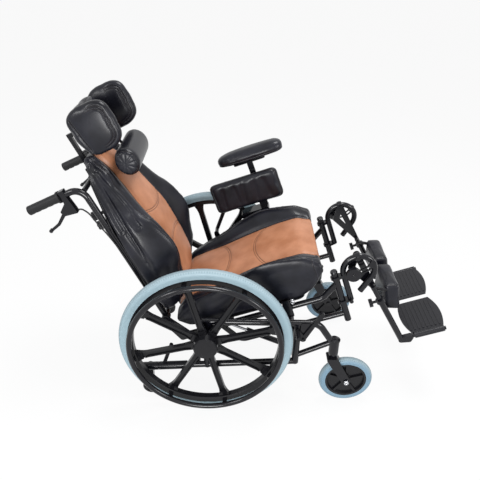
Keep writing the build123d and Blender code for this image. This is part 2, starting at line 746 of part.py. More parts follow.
panel_n = hinge_n + back_post_r
with BuildPart() as back_panel:
    with BuildSketch(Plane(origin=back_side(0).from_local_coords((panel_n, 0, 0)),
                           x_dir=(0, 1, 0), z_dir=back_side(0).x_dir)):
        with BuildLine():
            Polyline((-205, -70), (205, -70), (205, 260), (140, 430), (-140, 430), (-205, 260), close=True)
        make_face()
        fillet(vertices(), 30)
        with Locations((0, 120)):
            with GridLocations(0, 60, 1, 4):
                SlotOverall(220, 16, mode=Mode.SUBTRACT)
    extrude(amount=panel_thick)
save(back_panel, "back_panel")

# stations up the back: s, half width, front of side seam, bolster crest, panel seam, crown, seam
cushion_rear_n = panel_n + panel_thick + face_gap
back_stations = (
    (-92, 205, 44, 78, 84, 92, 112),
    (-60, 220, 56, 104, 98, 108, 118),
    (20, 224, 76, 138, 110, 121, 118),
    (110, 224, 82, 167, 113, 124, 118),
    (190, 221, 74, 156, 111, 122, 116),
    (290, 206, 58, 115, 92, 104, 108),
    (380, 178, 44, 88, 74, 86, 94),
    (450, 148, 34, 66, 54, 64, 78),
    (490, 112, 20, 38, 32, 40, 60),
)

with BuildPart() as back_cushion:
    loft(sections=[padded_section(across_back(s), half, cushion_rear_n, side_top, crest, valley, middle, seam)
                   for s, half, side_top, crest, valley, middle, seam in back_stations])
save(back_cushion, "back_cushion")

grip_end_wall = 4.0
grip_start_n = handle_end_n - grip_end_wall
with BuildPart() as grips:
    for side in sides.values():
        y = side * post_y
        handle_plane = Plane(origin=back_side(y).from_local_coords((grip_start_n, handle_s, 0)),
                             x_dir=(0, 1, 0), z_dir=back_side(y).x_dir)
        with BuildSketch(handle_plane):
            Circle(grip_r)
        extrude(amount=grip_length)
        with BuildSketch(handle_plane.offset(grip_length - grip_flange)):
            Circle(grip_r + 4)
        extrude(amount=grip_flange)
        for k in range(4):
            cross_cylinder(back_side, grip_start_n + 20 + 24 * k, handle_s - grip_r - finger_r + finger_depth,
                           y - 30, y + 30, finger_r, Mode.SUBTRACT)
        with BuildSketch(handle_plane.offset(grip_end_wall)):
            Circle(back_post_r + 0.02)
        extrude(amount=grip_length, mode=Mode.SUBTRACT)
save(grips, "grips")

# attendant brake: lever body clamped on the handle, lever below the grip
brake_n, brake_s = -100.0, 392.0
cable_n = -62.0
with BuildPart() as lever_bodies:
    for side in sides.values():
        y = side * post_y
        body_front_n = grip_start_n + grip_length + 1 + 22
        with BuildSketch(back_side(y + 11)):
            with Locations((body_front_n - 11, handle_s)):
                Rectangle(20, 36)
            with BuildLine():
                Polyline((body_front_n - 21, handle_s - 16), (body_front_n - 1, handle_s - 16),
                         (cable_n, 384), (cable_n, 368), (brake_n - 12, 376), (brake_n - 12, 394),
                         (body_front_n - 21, handle_s - 24), close=True)
            make_face()
        extrude(amount=22)
        fork_slot = 7
        with BuildSketch(back_side(y + fork_slot / 2 + 0.3)):
            with Locations((brake_n - 12, brake_s - 8)):
                Rectangle(52, 46)
        extrude(amount=fork_slot + 0.6, mode=Mode.SUBTRACT)
        cross_cylinder(back_side, brake_n, brake_s - 6, y - 10, y + 10, 3)
        with BuildSketch(Plane(origin=back_side(y).from_local_coords((body_front_n - 30, handle_s, 0)),
                               x_dir=(0, 1, 0), z_dir=back_side(y).x_dir)):
            Circle(back_post_r + 0.02)
        extrude(amount=40, mode=Mode.SUBTRACT)
save(lever_bodies, "lever_bodies")


def brake_lever(side):
    """Attendant brake lever: thin blade from its pin back below the grip to a ball end."""
    y = side * post_y
    with BuildPart() as lever:
        plate(back_side, y - 3.5, y + 3.5, [(brake_n, brake_s - 6, 7), (brake_n - 16, brake_s - 16, 6)])
        plate(back_side, y - 3.5, y + 3.5, [(brake_n - 16, brake_s - 16, 6), (-146, 356, 5)])
        plate(back_side, y - 3.5, y + 3.5, [(-146, 356, 5), (-180, 347, 4.5)])
        cross_cylinder(back_side, -184, 346, y - 5.5, y + 5.5, 6.5)
        cross_cylinder(back_side, brake_n, brake_s - 6, y - 9, y + 9, 3 + run_gap, Mode.SUBTRACT)
    return lever


for name, side in sides.items():
    save(brake_lever(side), f"brake_lever_{name}")

# two clamp knobs on stems behind the back panel
with BuildPart() as back_knobs:
    for s in (303, 264):
        knob_plane = Plane(origin=back_side(-100).from_local_coords((panel_n, s, 0)),
                           x_dir=(0, 1, 0), z_dir=-back_side(0).x_dir)
        with BuildSketch(knob_plane):
            Circle(6)
        extrude(amount=58)
        with BuildSketch(knob_plane.offset(57)):
            Circle(17)
            with PolarLocations(19, 6):
                Circle(5, mode=Mode.SUBTRACT)
        extrude(amount=20)
save(back_knobs, "back_knobs")


# ---------------------------------------------------------------- brake cables

cable_r = 2.6
cable_points = ((-61, 376, 0), (-46, 372, -2), (-32, 352, -6), (-24, 310, -13), (-14, 262, -15.5),
                (-9, 205, -14.5), (-8, 145, -15.5), (-9, 85, -14.5), (-8, 25, -15.5), (-9, -35, -14.5))
with BuildPart() as brake_cables:
    for side in sides.values():
        y = side * post_y
        # the cable lies against the outer side of its post and ends in a stop near the hinge
        spots = [back_side(y).from_local_coords((n, s, w * side)) for n, s, w in cable_points]
        radii = []
        for before, at, after in zip(spots, spots[1:], spots[2:]):
            turn = radians((at - before).get_angle(after - at))
            shorter = min((at - before).length, (after - at).length)
            radii.append(0.45 * shorter / (sin(turn / 2) / cos(turn / 2)))
        print("cable arcs", [round(r) for r in radii])
        with BuildLine() as route:
            FilletPolyline(*spots, radius=radii)
        with BuildSketch(Plane(origin=route.line @ 0, z_dir=route.line % 0)) as section:
            RegularPolygon(cable_r, 8)
        sweep(sections=section.sketch, path=route.line)
    length = sum(edge.length for edge in route.line.edges())
    print("cable length", length, "ratio", brake_cables.part.volume / (2 * section.sketch.area * length))
save(brake_cables, "brake_cables")


# ---------------------------------------------------------------- headrest

head_pivot_n, head_pivot_s = 22.0, 566.0
head_pad_s = 578.5
wing_n, wing_s = 113.0, 573.0
wing_width, wing_height, wing_corner = 154.0, 166.0, 42.0
carrier_foot_s = 340.0     # lower end of the headrest stem
wing_hinge_y, knuckle_r = 104.0, 5.0
barrel_low_s, barrel_top_s, knuckle_length = 556.0, 588.0, 16.0
roll_arm_n, roll_arm_s = 118.0, 497.0

with BuildPart() as headrest_carrier:
    # stem that slides in the clamp, with arms to the head pivot and to the neck roll
    with BuildSketch(across_back(carrier_foot_s)):
        with Locations((0, carrier_n)):
            Rectangle(2 * stem_half, 2 * stem_half)
    extrude(amount=-(head_pivot_s + stem_half - carrier_foot_s))
    plate(back_side, stem_half, -stem_half, [(carrier_n, head_pivot_s, stem_half), (head_pivot_n, head_pivot_s, 8)])
    tube(back_side(0), [(carrier_n, roll_arm_s), (roll_arm_n, roll_arm_s), (roll_arm_n, 440)], 4.5, 16)
    cross_cylinder(back_side, head_pivot_n, head_pivot_s, -18, 18, 4)
save(headrest_carrier, "headrest_carrier")


def ellipse_roll(half_width, n, s, a, b):
    """Roll along Y whose ends draw in: ellipses lofted across the width."""
    stations = ((-half_width, 0.72), (-half_width + 16, 1.0), (half_width - 16, 1.0), (half_width, 0.72))
    sketches = []
    for y, scale_by in stations:
        with BuildSketch(back_side(y)) as ring:
            with Locations((n, s)):
                Ellipse(a * scale_by, b * scale_by)
        sketches.append(ring.sketch)
    return sketches


with BuildPart() as neck_roll:
    loft(sections=ellipse_roll(125, 136, 428, 42, 50), ruled=True)
    tube(back_side(0), [(roll_arm_n, 500), (roll_arm_n, 439.5)], 4.5, mode=Mode.SUBTRACT)
save(neck_roll, "neck_roll")

pad_rear_n = 46.0
with BuildPart() as headrest_pad:
    for n, grow in ((pad_rear_n, 0), (pad_rear_n + 22, 8), (pad_rear_n + 46, -8)):
        with BuildSketch(Plane(origin=back_side(0).from_local_coords((n, head_pad_s, 0)), x_dir=(0, 1, 0),
                               z_dir=back_side(0).x_dir)):
            RectangleRounded(168 + 2 * grow, 127 + 2 * grow, 26)
    loft(ruled=True)
    # steel plate behind the pad: pivot ears in the middle, wing hinge barrels at the ends
    for half_width, height in ((97, 60), (101, 26)):
        with BuildSketch(back_side(half_width)):
            with Locations((pad_rear_n - 2, 572)):
                Rectangle(4, height)
        extrude(amount=2 * half_width)
    for ear in (stem_half + face_gap, -stem_half - face_gap - 5):
        plate(back_side, ear, ear + 5, [(head_pivot_n, head_pivot_s, 9), (pad_rear_n - 2, head_pivot_s + 6, 10)])
    cross_cylinder(back_side, head_pivot_n, head_pivot_s, -30, 30, 4 + run_gap, Mode.SUBTRACT)
    for side in sides.values():
        with BuildSketch(across_back(barrel_low_s)):
            with Locations((side * wing_hinge_y, pad_rear_n - 3)):
                Circle(knuckle_r)
        extrude(amount=barrel_low_s - barrel_top_s)
save(headrest_pad, "headrest_pad")


def headrest_wing(side):
    """Side wing: rounded square pad with crowned faces, on knuckles near its rear edge."""
    with BuildPart() as wing:
        for y, shrink in ((102, 10), (113, 0), (141, 0), (152, 10)):
            with BuildSketch(back_side(side * y)):
                with Locations((wing_n, wing_s)):
                    RectangleRounded(wing_width - 2 * shrink, wing_height - 2 * shrink, wing_corner - shrink)
        loft(ruled=True)
        # room for the pad's barrel, with a knuckle above it and one below
        with BuildSketch(across_back(barrel_low_s - face_gap)):
            with Locations((side * wing_hinge_y, pad_rear_n - 3)):
                Circle(knuckle_r + 1.5)
        extrude(amount=barrel_low_s - barrel_top_s - 2 * face_gap, mode=Mode.SUBTRACT)
        for low_s, span in ((barrel_low_s - knuckle_length, knuckle_length - face_gap),
                            (barrel_top_s + face_gap, knuckle_length)):
            with BuildSketch(across_back(low_s)):
                with Locations((side * wing_hinge_y, pad_rear_n - 3)):
                    Circle(knuckle_r)
            extrude(amount=-span)
    return wing


for name, side in sides.items():
    save(headrest_wing(side), f"headrest_wing_{name}")


# ---------------------------------------------------------------- gas springs

def along_spring(plane_at, start, end, y):
    """Plane square to the line from start to end, at start."""
    base = plane_at(y)
    a = base.from_local_coords((start[0], start[1], 0))
    b = base.from_local_coords((end[0], end[1], 0))
    return Plane(origin=a, x_dir=(0, 1, 0), z_dir=b - a), (b - a).length


def spring_cylinder(plane_at, start, end, y, body_end):
    axis_plane, length = along_spring(plane_at, start, end, y)
    with BuildPart() as cylinder:
        with BuildSketch(axis_plane.offset(13)):
            Circle(spring_r)
        extrude(amount=body_end - 13)
        with BuildSketch(axis_plane.offset(4)):
            Circle(6)
        extrude(amount=12)
        cross_cylinder(plane_at, start[0], start[1], y - eye_half, y + eye_half, eye_r)
        cross_cylinder(plane_at, start[0], start[1], y - 20, y + 20, rod_r + run_gap, Mode.SUBTRACT)
        with BuildSketch(axis_plane.offset(50)):
            Circle(rod_r + run_gap)
        extrude(amount=body_end, mode=Mode.SUBTRACT)
    return cylinder


def spring_rod(plane_at, start, end, y, inside):
    """Rod with an eye and its pin at the free end."""
    axis_plane, length = along_spring(plane_at, start, end, y)
    with BuildPart() as rod:
        with BuildSketch(axis_plane.offset(inside)):
            Circle(rod_r)
        extrude(amount=length - inside)
        cross_cylinder(plane_at, end[0], end[1], y - eye_half, y + eye_half, eye_r - 1)
    return rod


save(spring_cylinder(side_plane, tilt_base, tilt_seat, tilt_spring_y, 160), "tilt_spring_cylinder")
save(spring_rod(side_plane, tilt_base, tilt_seat, tilt_spring_y, 96), "tilt_spring_rod")
save(spring_cylinder(seat_side, recline_seat, recline_lever, 0, 215), "recline_spring_cylinder")
save(spring_rod(seat_side, recline_seat, recline_lever, 0, 130), "recline_spring_rod")


# ---------------------------------------------------------------- armrest, left side

socket_u = -43.0
arm_bar_v = 188.0
arm_top_v = 341.0
arm_bar_half = 12.0

with BuildPart() as armrest_frame:
    # inner plates between cushion and base rail, on spacers that fit the seat rail
    plate(seat_side, arm_plate_y, arm_plate_y + 4, [(-130, 0, 12), (-40, 0, 12), (-40, arm_bar_v, 10), (-130, arm_bar_v, 10)])
    plate(seat_side, arm_plate_y, arm_plate_y + 4, [(-285, 0, 11), (-262, 0, 11), (-271, 152, 10)])
    for u in (-130, -40, -274):
        cross_cylinder(seat_side, u, 0, seat_y, arm_plate_y + 1, 8)
    tube(seat_side(seat_y), [(seat_rear_u, 0), (60, 0)], seat_rail_r, mode=Mode.SUBTRACT)
    tube(seat_side(seat_y), lower_rail, seat_rail_r - 1, mode=Mode.SUBTRACT)
    with BuildSketch(seat_side(arm_y + 8)):
        with Locations((-84, arm_bar_v)):
            RectangleRounded(118, 2 * arm_bar_half, 6)
    extrude(amount=arm_y + 8 - arm_plate_y - 2)
    # socket of the arm post
    with BuildSketch(seat_side(arm_y + 9)):
        with Locations((socket_u, (arm_bar_v + arm_top_v) / 2)):
            Rectangle(34, arm_top_v - arm_bar_v)
    extrude(amount=18)
    # rear leg
    tube(seat_side(arm_y - 2), [(-271, 150), (-211, 226), (socket_u - 8, 262)], 8, 30)
    cross_cylinder(seat_side, -271, 150, arm_plate_y + 1, arm_y - 2, 8)
    with BuildSketch(Plane(origin=seat_side(arm_y).from_local_coords((socket_u, arm_bar_v + 14, 0)),
                           x_dir=seat_side(0).x_dir, z_dir=seat_side(0).y_dir)):
        Rectangle(arm_post_long + 2 * run_gap, arm_post_thick + 2 * run_gap)
    extrude(amount=200, mode=Mode.SUBTRACT)
    # window for the height button
    with BuildSketch(seat_side(arm_y + 20)):
        with Locations((socket_u, arm_top_v - 20)):
            Circle(6 + run_gap)
    extrude(amount=19, mode=Mode.SUBTRACT)
save(armrest_frame, "armrest_frame")

with BuildPart() as arm_post:
    with BuildSketch(Plane(origin=seat_side(arm_y).from_local_coords((socket_u, arm_bar_v + 40, 0)),
                           x_dir=seat_side(0).x_dir, z_dir=seat_side(0).y_dir)):
        Rectangle(arm_post_long, arm_post_thick)
    extrude(amount=396 - arm_bar_v - 40)
    with BuildSketch(Plane(origin=seat_side(arm_y + 9).from_local_coords((socket_u, 396, 0)),
                           x_dir=seat_side(0).x_dir, z_dir=seat_side(0).y_dir)):
        RectangleRounded(130, 40, 10)
    extrude(amount=5)
    # groove that the height button presses into, as long as the post's travel
    with BuildSketch(seat_side(arm_y + 6)):
        with Locations((socket_u, arm_top_v - 60)):
            Rectangle(13.5, 106)
    extrude(amount=5, mode=Mode.SUBTRACT)
save(arm_post, "arm_post")

with BuildPart() as arm_button:
    cross_cylinder(seat_side, socket_u, arm_top_v - 20, arm_y + 4.6, arm_y + 12, 6)
save(arm_button, "arm_button")

pad_low_v = 401.0
with BuildPart() as arm_pad:
    with BuildSketch(Plane(origin=seat_side(290).from_local_coords((0, pad_low_v, 0)),
                           x_dir=seat_side(0).x_dir, z_dir=seat_side(0).y_dir)):
        with BuildLine():
            Polyline((-168, -20), (70, -34), (100, -18), (100, 18), (70, 34), (-168, 20), close=True)
        make_face()
        fillet(vertices(), 14)
    extrude(amount=28)
    fillet(arm_pad.faces().sort_by(Axis(origin=(0, 0, 0), direction=seat_side(0).y_dir))[-1].edges(), 9)
save(arm_pad, "arm_pad")

with BuildPart() as hip_pad:
    for y, shrink in ((231, 8), (240, 0), (253, 0), (262, 8)):
        with BuildSketch(seat_side(y)):
            with Locations((-89, 290)):
                RectangleRounded(278 - 2 * shrink, 128 - 2 * shrink, 30 - shrink / 2)
    loft(ruled=True)
save(hip_pad, "hip_pad")


# ---------------------------------------------------------------- legrests

shin_dir = (sin(radians(shin_lean)), -cos(radians(shin_lean)))


def shin_point(t):
    """Local point on the shin tube's axis, t below its start."""
    return (sleeve_start[0] + shin_dir[0] * t, sleeve_start[1] + shin_dir[1] * t)


def shin_plane(side, t):
    """Plane square to the shin tube at t: local x is +Y."""
    base = seat_side(side * leg_y)
    spot = shin_point(t)
    direction = base.from_local_coords((shin_dir[0], shin_dir[1], 0)) - base.origin
    return Plane(origin=base.from_local_coords((spot[0], spot[1], 0)), x_dir=(0, 1, 0), z_dir=direction)


slot_r = hypot(elevate_u - 222, elevate_v - 82)
slot_from = degrees(atan2(82 - elevate_v, 222 - elevate_u))
slot_sweep = 62.0


def arc_band(centre, radius, half, start, sweep_by):
    """Curved slot outline: a band of given half width along an arc, with round ends."""
    cu, cv = centre
    a0, a1, am = radians(start), radians(start + sweep_by), radians(start + sweep_by / 2)

    def at(r, a):
        return (cu + r * cos(a), cv + r * sin(a))

    with BuildLine() as band:
        ThreePointArc(at(radius + half, a0), at(radius + half, am), at(radius + half, a1))
        end = at(radius, a1)
        ThreePointArc(at(radius + half, a1), (end[0] - half * sin(a1), end[1] + half * cos(a1)),
                      at(radius - half, a1))
        ThreePointArc(at(radius - half, a1), at(radius - half, am), at(radius - half, a0))
        start_at = at(radius, a0)
        ThreePointArc(at(radius - half, a0), (start_at[0] + half * sin(a0), start_at[1] - half * cos(a0)),
                      at(radius + half, a0))
    return band.line.edges()


def legrest_hanger(side):
    """Swing-away hanger: lugs on the post, arched tube, top collar and slotted quadrant."""
    y = side * leg_y
    leg_u = arch_u - arch_r
    down = radians(-48)
    low = (arch_u + arch_r * cos(down), arch_v + arch_r * sin(down))
    with BuildPart() as hanger:
        with BuildLine(seat_side(y)) as route:
            Line((leg_u, -36), (leg_u, arch_v))
            ThreePointArc((leg_u, arch_v), (arch_u, arch_v + arch_r), (arch_u + arch_r, arch_v))
            ThreePointArc((arch_u + arch_r, arch_v),
                          (arch_u + arch_r * cos(down / 2), arch_v + arch_r * sin(down / 2)), low)
            Line(low, (low[0] + sin(down) * 69, low[1] - cos(down) * 69))
        with BuildSketch(Plane(origin=route.line @ 0, z_dir=route.line % 0)) as section:
            Circle(arch_tube_r)
        sweep(sections=section.sketch, path=route.line)
        for low_v, high_v in ((66, 76), (-38, -28)):
            with BuildSketch(Plane(origin=seat_side(y).from_local_coords((0, low_v, 0)),
                                   x_dir=seat_side(0).x_dir, z_dir=seat_side(0).y_dir)):
                with Locations((post_u, 0)):
                    Circle(post_r + 5)
                with Locations((leg_u, 0)):
                    Circle(9)
                make_hull()
                with Locations((post_u, 0)):
                    Circle(post_r + run_gap, mode=Mode.SUBTRACT)
            extrude(amount=high_v - low_v)
        # collar of the elevating pivot bolt
        collar_plane = Plane(origin=seat_side(y).from_local_coords((elevate_u - 9, elevate_v + 0.5, 0)),
                             x_dir=(0, 1, 0), z_dir=seat_side(0).x_dir)
        with BuildSketch(collar_plane):
            Circle(collar_r)
        extrude(amount=18)
        cross_cylinder(seat_side, elevate_u, elevate_v, y - side * 22, y + side * 17, 5)
        cross_cylinder(seat_side, elevate_u, elevate_v, y + side * 13, y + side * 18, 8)
        # slotted quadrant for the clamp bolt
        with BuildSketch(seat_side(max(y + side * 9, y + side * 14))):
            make_face(arc_band((elevate_u, elevate_v), slot_r, 9, slot_from - 2, 88))
        extrude(amount=5)
        with BuildSketch(seat_side(max(y + side * 8.5, y + side * 15))):
            make_face(arc_band((elevate_u, elevate_v), slot_r, 4.3, slot_from, slot_sweep))
        extrude(amount=6.5, mode=Mode.SUBTRACT)
        # latch lever of the swing-away lock
        cross_cylinder(seat_side, leg_u, -33, y + side * 8, y + side * 22, 7)
    return hanger


def legrest_link(side):
    """Elevating half: side plate on the pivot, clamp knob, upper shin rod, pad hinge pin."""
    y = side * leg_y
    outer = y - side * (collar_r + face_gap)
    inner = outer - side * 4
    with BuildPart() as link:
        plate(seat_side, inner, outer, [(elevate_u, elevate_v, 12), (222, 82, 12)])
        plate(seat_side, inner, outer, [(elevate_u, elevate_v, 12), (*shin_point(18), 10)])
        plate(seat_side, inner, outer, [(222, 82, 12), (*shin_point(18), 10)])
        plate(seat_side, inner, y, [(*shin_point(13), 9), (*shin_point(22), 9)])
        cross_cylinder(seat_side, elevate_u, elevate_v, y - 60, y + 60, 5 + run_gap, Mode.SUBTRACT)
        # clamp bolt through the slot, and its knob outside the quadrant
        cross_cylinder(seat_side, 222, 82, inner, y + side * 24, 4)
        knob_low = y + side * (14 + face_gap)
        cross_cylinder(seat_side, 222, 82, knob_low, knob_low + side * 8, 14)
        cross_cylinder(seat_side, 222, 82, knob_low + side * 7, knob_low + side * 22, 25)
        with BuildSketch(shin_plane(side, 8)):
            Circle(rod_upper_r)
        extrude(amount=rod_upper_end - 8)
        # two short arms hold the hinge pin of the calf pad
        for t in (26, 56):
            with BuildSketch(shin_plane(side, t)):
                with Locations((-side * pad_pin_out / 2, 0)):
                    Rectangle(pad_pin_out, 8)
                with Locations((-side * pad_pin_out, 0)):
                    Circle(6)
            extrude(amount=5)
        with BuildSketch(shin_plane(side, 27)):
            with Locations((-side * pad_pin_out, 0)):
                Circle(4)
        extrude(amount=32)
    return link


def shin_tube(side):
    """Telescoping shin tube: clamp ring with its knob, and the pin the footplate turns on."""
    y = side * leg_y
    back_down = Plane(origin=shin_plane(side, shin_top + 7).origin, x_dir=(0, 1, 0),
                      z_dir=-seat_side(0).x_dir)
    with BuildPart() as shin:
        with BuildSketch(shin_plane(side, shin_top)):
            Circle(shin_r)
        extrude(amount=shin_length - shin_top)
        with BuildSketch(shin_plane(side, shin_top)):
            Circle(shin_r + 5)
        extrude(amount=14)
        with BuildSketch(back_down):
            Circle(5)
        extrude(amount=32)
        with BuildSketch(back_down.offset(28)):
            Circle(15)
            with PolarLocations(17, 5):
                Circle(5, mode=Mode.SUBTRACT)
        extrude(amount=13)
        with BuildSketch(shin_plane(side, shin_top - 2)):
            Circle(rod_upper_r + run_gap)
        extrude(amount=shin_length - shin_top - 40, mode=Mode.SUBTRACT)
        plate(seat_side, y - 9, y + 9,
              [(*shin_point(shin_length - 8), shin_r), (352, foot_v - 10, 9), (360, foot_v, 9)])
        tube(seat_side(y), [(352, foot_v), (490, foot_v)], foot_pin_r)
    return shin


def calf_pad(side):
    """Calf pad: wedge-shaped block with a hollowed front, on a knuckle beside the shin rod."""
    y_out, y_in = side * 172, side * 14
    pin = seat_side(side * (leg_y - pad_pin_out)).from_local_coords((*shin_point(43.5), 0))
    pin_x, pin_z = pin.X - axle_x, pin.Z
    with BuildPart() as pad:
        with BuildSketch(side_plane(max(y_out, y_in))):
            with BuildLine():
                Polyline((634, 474), (684, 476), (704, 372), (638, 366), close=True)
            make_face()
            fillet(vertices(), 12)
        extrude(amount=abs(y_out - y_in))
        with BuildSketch(Plane(origin=(axle_x + 776, side * 93, 340))):
            Circle(100)
        extrude(amount=180, mode=Mode.SUBTRACT)
        with BuildSketch(shin_plane(side, 31 + face_gap)):
            with Locations((-side * pad_pin_out, 0)):
                Circle(8)
        extrude(amount=25 - 2 * face_gap)
        plate(side_plane, side * 160, side * 170, [(pin_x + 3, pin_z, 5), (646, pin_z - 6, 8)])
        with BuildSketch(shin_plane(side, 20)):
            with Locations((-side * pad_pin_out, 0)):
                Circle(4 + run_gap)
        extrude(amount=50, mode=Mode.SUBTRACT)
    return pad


def footplate(side):
    """Flip-up footplate: barrel on the pin, barrelled plate with ribs across it."""
    y = side * leg_y
    inner_y = side * 14
    near_y = side * (leg_y - 8)
    mid_y = (inner_y + near_y) / 2
    u_mid, u_half = 422.0, 62.0
    flat = Plane(origin=seat_side(0).from_local_coords((0, foot_v + 2, 0)),
                 x_dir=seat_side(0).x_dir, z_dir=seat_side(0).y_dir)
    with BuildPart() as foot:
        with BuildSketch(flat) as outline:
            with BuildLine():
                Line((u_mid - u_half, inner_y), (u_mid + u_half - 6, inner_y))
                ThreePointArc((u_mid + u_half - 6, inner_y), (u_mid + u_half + 14, mid_y), (u_mid + u_half, near_y))
                Line((u_mid + u_half, near_y), (u_mid - u_half + 10, near_y))
                ThreePointArc((u_mid - u_half + 10, near_y), (u_mid - u_half - 12, mid_y),
                              (u_mid - u_half, inner_y))
            make_face()
        extrude(amount=6)
        with BuildSketch(flat.offset(6)):
            with Locations((u_mid, mid_y + side * 2)):
                with GridLocations(15, 0, 8, 1):
                    Rectangle(6, abs(near_y - inner_y) - 24)
        extrude(amount=2)
        tube(seat_side(y), [(376, foot_v), (u_mid + u_half, foot_v)], foot_barrel_r)
        tube_plane = Plane(origin=seat_side(y).from_local_coords((370, foot_v, 0)), z_dir=seat_side(0).x_dir)
        with BuildSketch(tube_plane):
            Circle(foot_pin_r + run_gap)
        extrude(amount=140, mode=Mode.SUBTRACT)
    return foot


for name, side in sides.items():
    save(legrest_hanger(side), f"legrest_hanger_{name}")
    save(legrest_link(side), f"legrest_link_{name}")
    save(shin_tube(side), f"shin_tube_{name}")
    save(calf_pad(side), f"calf_pad_{name}")
    save(footplate(side), f"footplate_{name}")
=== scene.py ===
# %% [markdown]
# # A tilt-in-space wheelchair
# The tubes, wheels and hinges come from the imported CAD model, which is the fixed frame.
# Around it, this lesson makes what CAD does badly: stuffed leather, moulded rubber and finishes.
# Every shape is a numpy surface, in metres, in the same frame as the CAD.

# %% Load the frame
import bpy
import json
import numpy as np
from mathutils import Matrix


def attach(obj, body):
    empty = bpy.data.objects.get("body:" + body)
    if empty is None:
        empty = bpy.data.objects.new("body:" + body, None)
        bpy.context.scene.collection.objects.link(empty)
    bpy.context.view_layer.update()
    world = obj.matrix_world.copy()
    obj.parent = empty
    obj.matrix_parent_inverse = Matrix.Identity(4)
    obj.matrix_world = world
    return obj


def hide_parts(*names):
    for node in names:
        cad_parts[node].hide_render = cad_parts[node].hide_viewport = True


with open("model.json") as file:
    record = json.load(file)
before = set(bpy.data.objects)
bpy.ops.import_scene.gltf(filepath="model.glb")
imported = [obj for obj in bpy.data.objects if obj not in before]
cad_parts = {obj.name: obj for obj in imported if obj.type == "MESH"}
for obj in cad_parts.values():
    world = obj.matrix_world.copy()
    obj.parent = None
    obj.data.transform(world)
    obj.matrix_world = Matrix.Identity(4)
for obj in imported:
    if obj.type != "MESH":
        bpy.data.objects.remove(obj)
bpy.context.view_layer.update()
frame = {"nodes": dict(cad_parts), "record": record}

# %% [markdown]
# ## Places on the chair
# The chair stands tilted back, so its seat and its back each have a frame of their own: the seat
# is tilted 20 degrees and the back leans 26. A piece is easiest to draw square to what carries
# it, so pieces are drawn in millimetres as (forward, width, up) in one of those frames and then
# moved to the frame of the file. Seams are measured on the way back.

# %% Frames of the seat, the back and the floor
AXLE_X = -147.18
SEAT_AT, SEAT_TILT = (319.0, 402.0), 20.0
BACK_AT, BACK_LEAN = (-200.0, 450.0), 26.0
FLOOR_AT, FLOOR_TILT = (0.0, 0.0), 0.0
CASTER_X, CASTER_Z = 520.0, 100.0


def place(points, at, lean):
    """Turns (forward, width, up) by the lean about the width axis, then shifts it: mm to metres."""
    p = np.asarray(points, float)
    c, s = np.cos(np.radians(lean)), np.sin(np.radians(lean))
    x = AXLE_X + at[0] + p[..., 0] * c - p[..., 2] * s
    z = at[1] + p[..., 0] * s + p[..., 2] * c
    return np.stack([x, p[..., 1], z], -1) / 1000


def on_seat(points):
    return place(points, SEAT_AT, SEAT_TILT)


def on_back(points):
    return place(points, BACK_AT, BACK_LEAN)


def on_floor(points):
    return place(points, FLOOR_AT, FLOOR_TILT)


def leave(points, at, lean):
    """The way back: metres in the file's frame to (forward, width, up) in mm."""
    p = np.asarray(points, float) * 1000
    c, s = np.cos(np.radians(lean)), np.sin(np.radians(lean))
    x, z = p[..., 0] - AXLE_X - at[0], p[..., 2] - at[1]
    return np.stack([x * c + z * s, p[..., 1], -x * s + z * c], -1)


def seen_from_seat(points):
    return leave(points, SEAT_AT, SEAT_TILT)


def seen_from_back(points):
    return leave(points, BACK_AT, BACK_LEAN)


def seen_from_floor(points):
    return leave(points, FLOOR_AT, FLOOR_TILT)


print("seat tilted", SEAT_TILT, "degrees, back leaning", BACK_LEAN)

# %% [markdown]
# ## Camera
# The photograph was taken from the chair's right, about 30 degrees above, with the camera
# turned by about one degree. Its place was worked out from the two round rear wheels.

# %% Camera
CAMERA_AT = (111.92 + AXLE_X, -1743.45, 1544.38)
CAMERA_DOWN, CAMERA_ROLL = 29.68, 1.17
FOCAL_PIXELS, PHOTO_PIXELS, SENSOR = 532.64, 480, 36.0

camera_data = bpy.data.cameras.new("camera")
camera_data.sensor_width = SENSOR
camera_data.lens = FOCAL_PIXELS / PHOTO_PIXELS * SENSOR
camera_data.clip_start, camera_data.clip_end = 0.05, 90
camera = bpy.data.objects.new("camera", camera_data)
bpy.context.collection.objects.link(camera)
camera.location = [v / 1000 for v in CAMERA_AT]
camera.rotation_mode = "XYZ"
down, roll = np.radians(90 - CAMERA_DOWN), np.radians(CAMERA_ROLL)
right_axis = np.array([np.cos(roll), np.sin(roll) * np.cos(down), np.sin(roll) * np.sin(down)])
up_axis = np.array([-np.sin(roll), np.cos(roll) * np.cos(down), np.cos(roll) * np.sin(down)])
turn = Matrix(np.stack([right_axis, up_axis, np.cross(right_axis, up_axis)], 1).tolist())
camera.rotation_euler = turn.to_euler("XYZ")
bpy.context.scene.camera = camera
print("camera lens", camera_data.lens)

# %% [markdown]
# ## Light and stage
# Soft studio light: a pale world and four large lamps. One sun would be simpler, but its sharp
# highlights make black leather look wet. The floor is almost white to the camera and still
# shows a faint shadow.

# %% Light and stage


def add_node(tree, kind, sockets=None, **settings):
    """Adds a shader node, sets its properties, and fills or links its inputs."""
    made = tree.nodes.new(kind)
    for name, value in settings.items():
        setattr(made, name, value)
    for name, value in (sockets or {}).items():
        if isinstance(value, bpy.types.NodeSocket):
            tree.links.new(value, made.inputs[name])
        else:
            made.inputs[name].default_value = value
    return made


def plain_to(tree, *rays):
    """1 for the named kinds of ray, and 0 for the light that falls on the chair."""
    path = add_node(tree, "ShaderNodeLightPath").outputs
    mask = path[rays[0]]
    for ray in rays[1:]:
        mask = add_node(tree, "ShaderNodeMath", {0: mask, 1: path[ray]}, operation="MAXIMUM").outputs[0]
    return mask


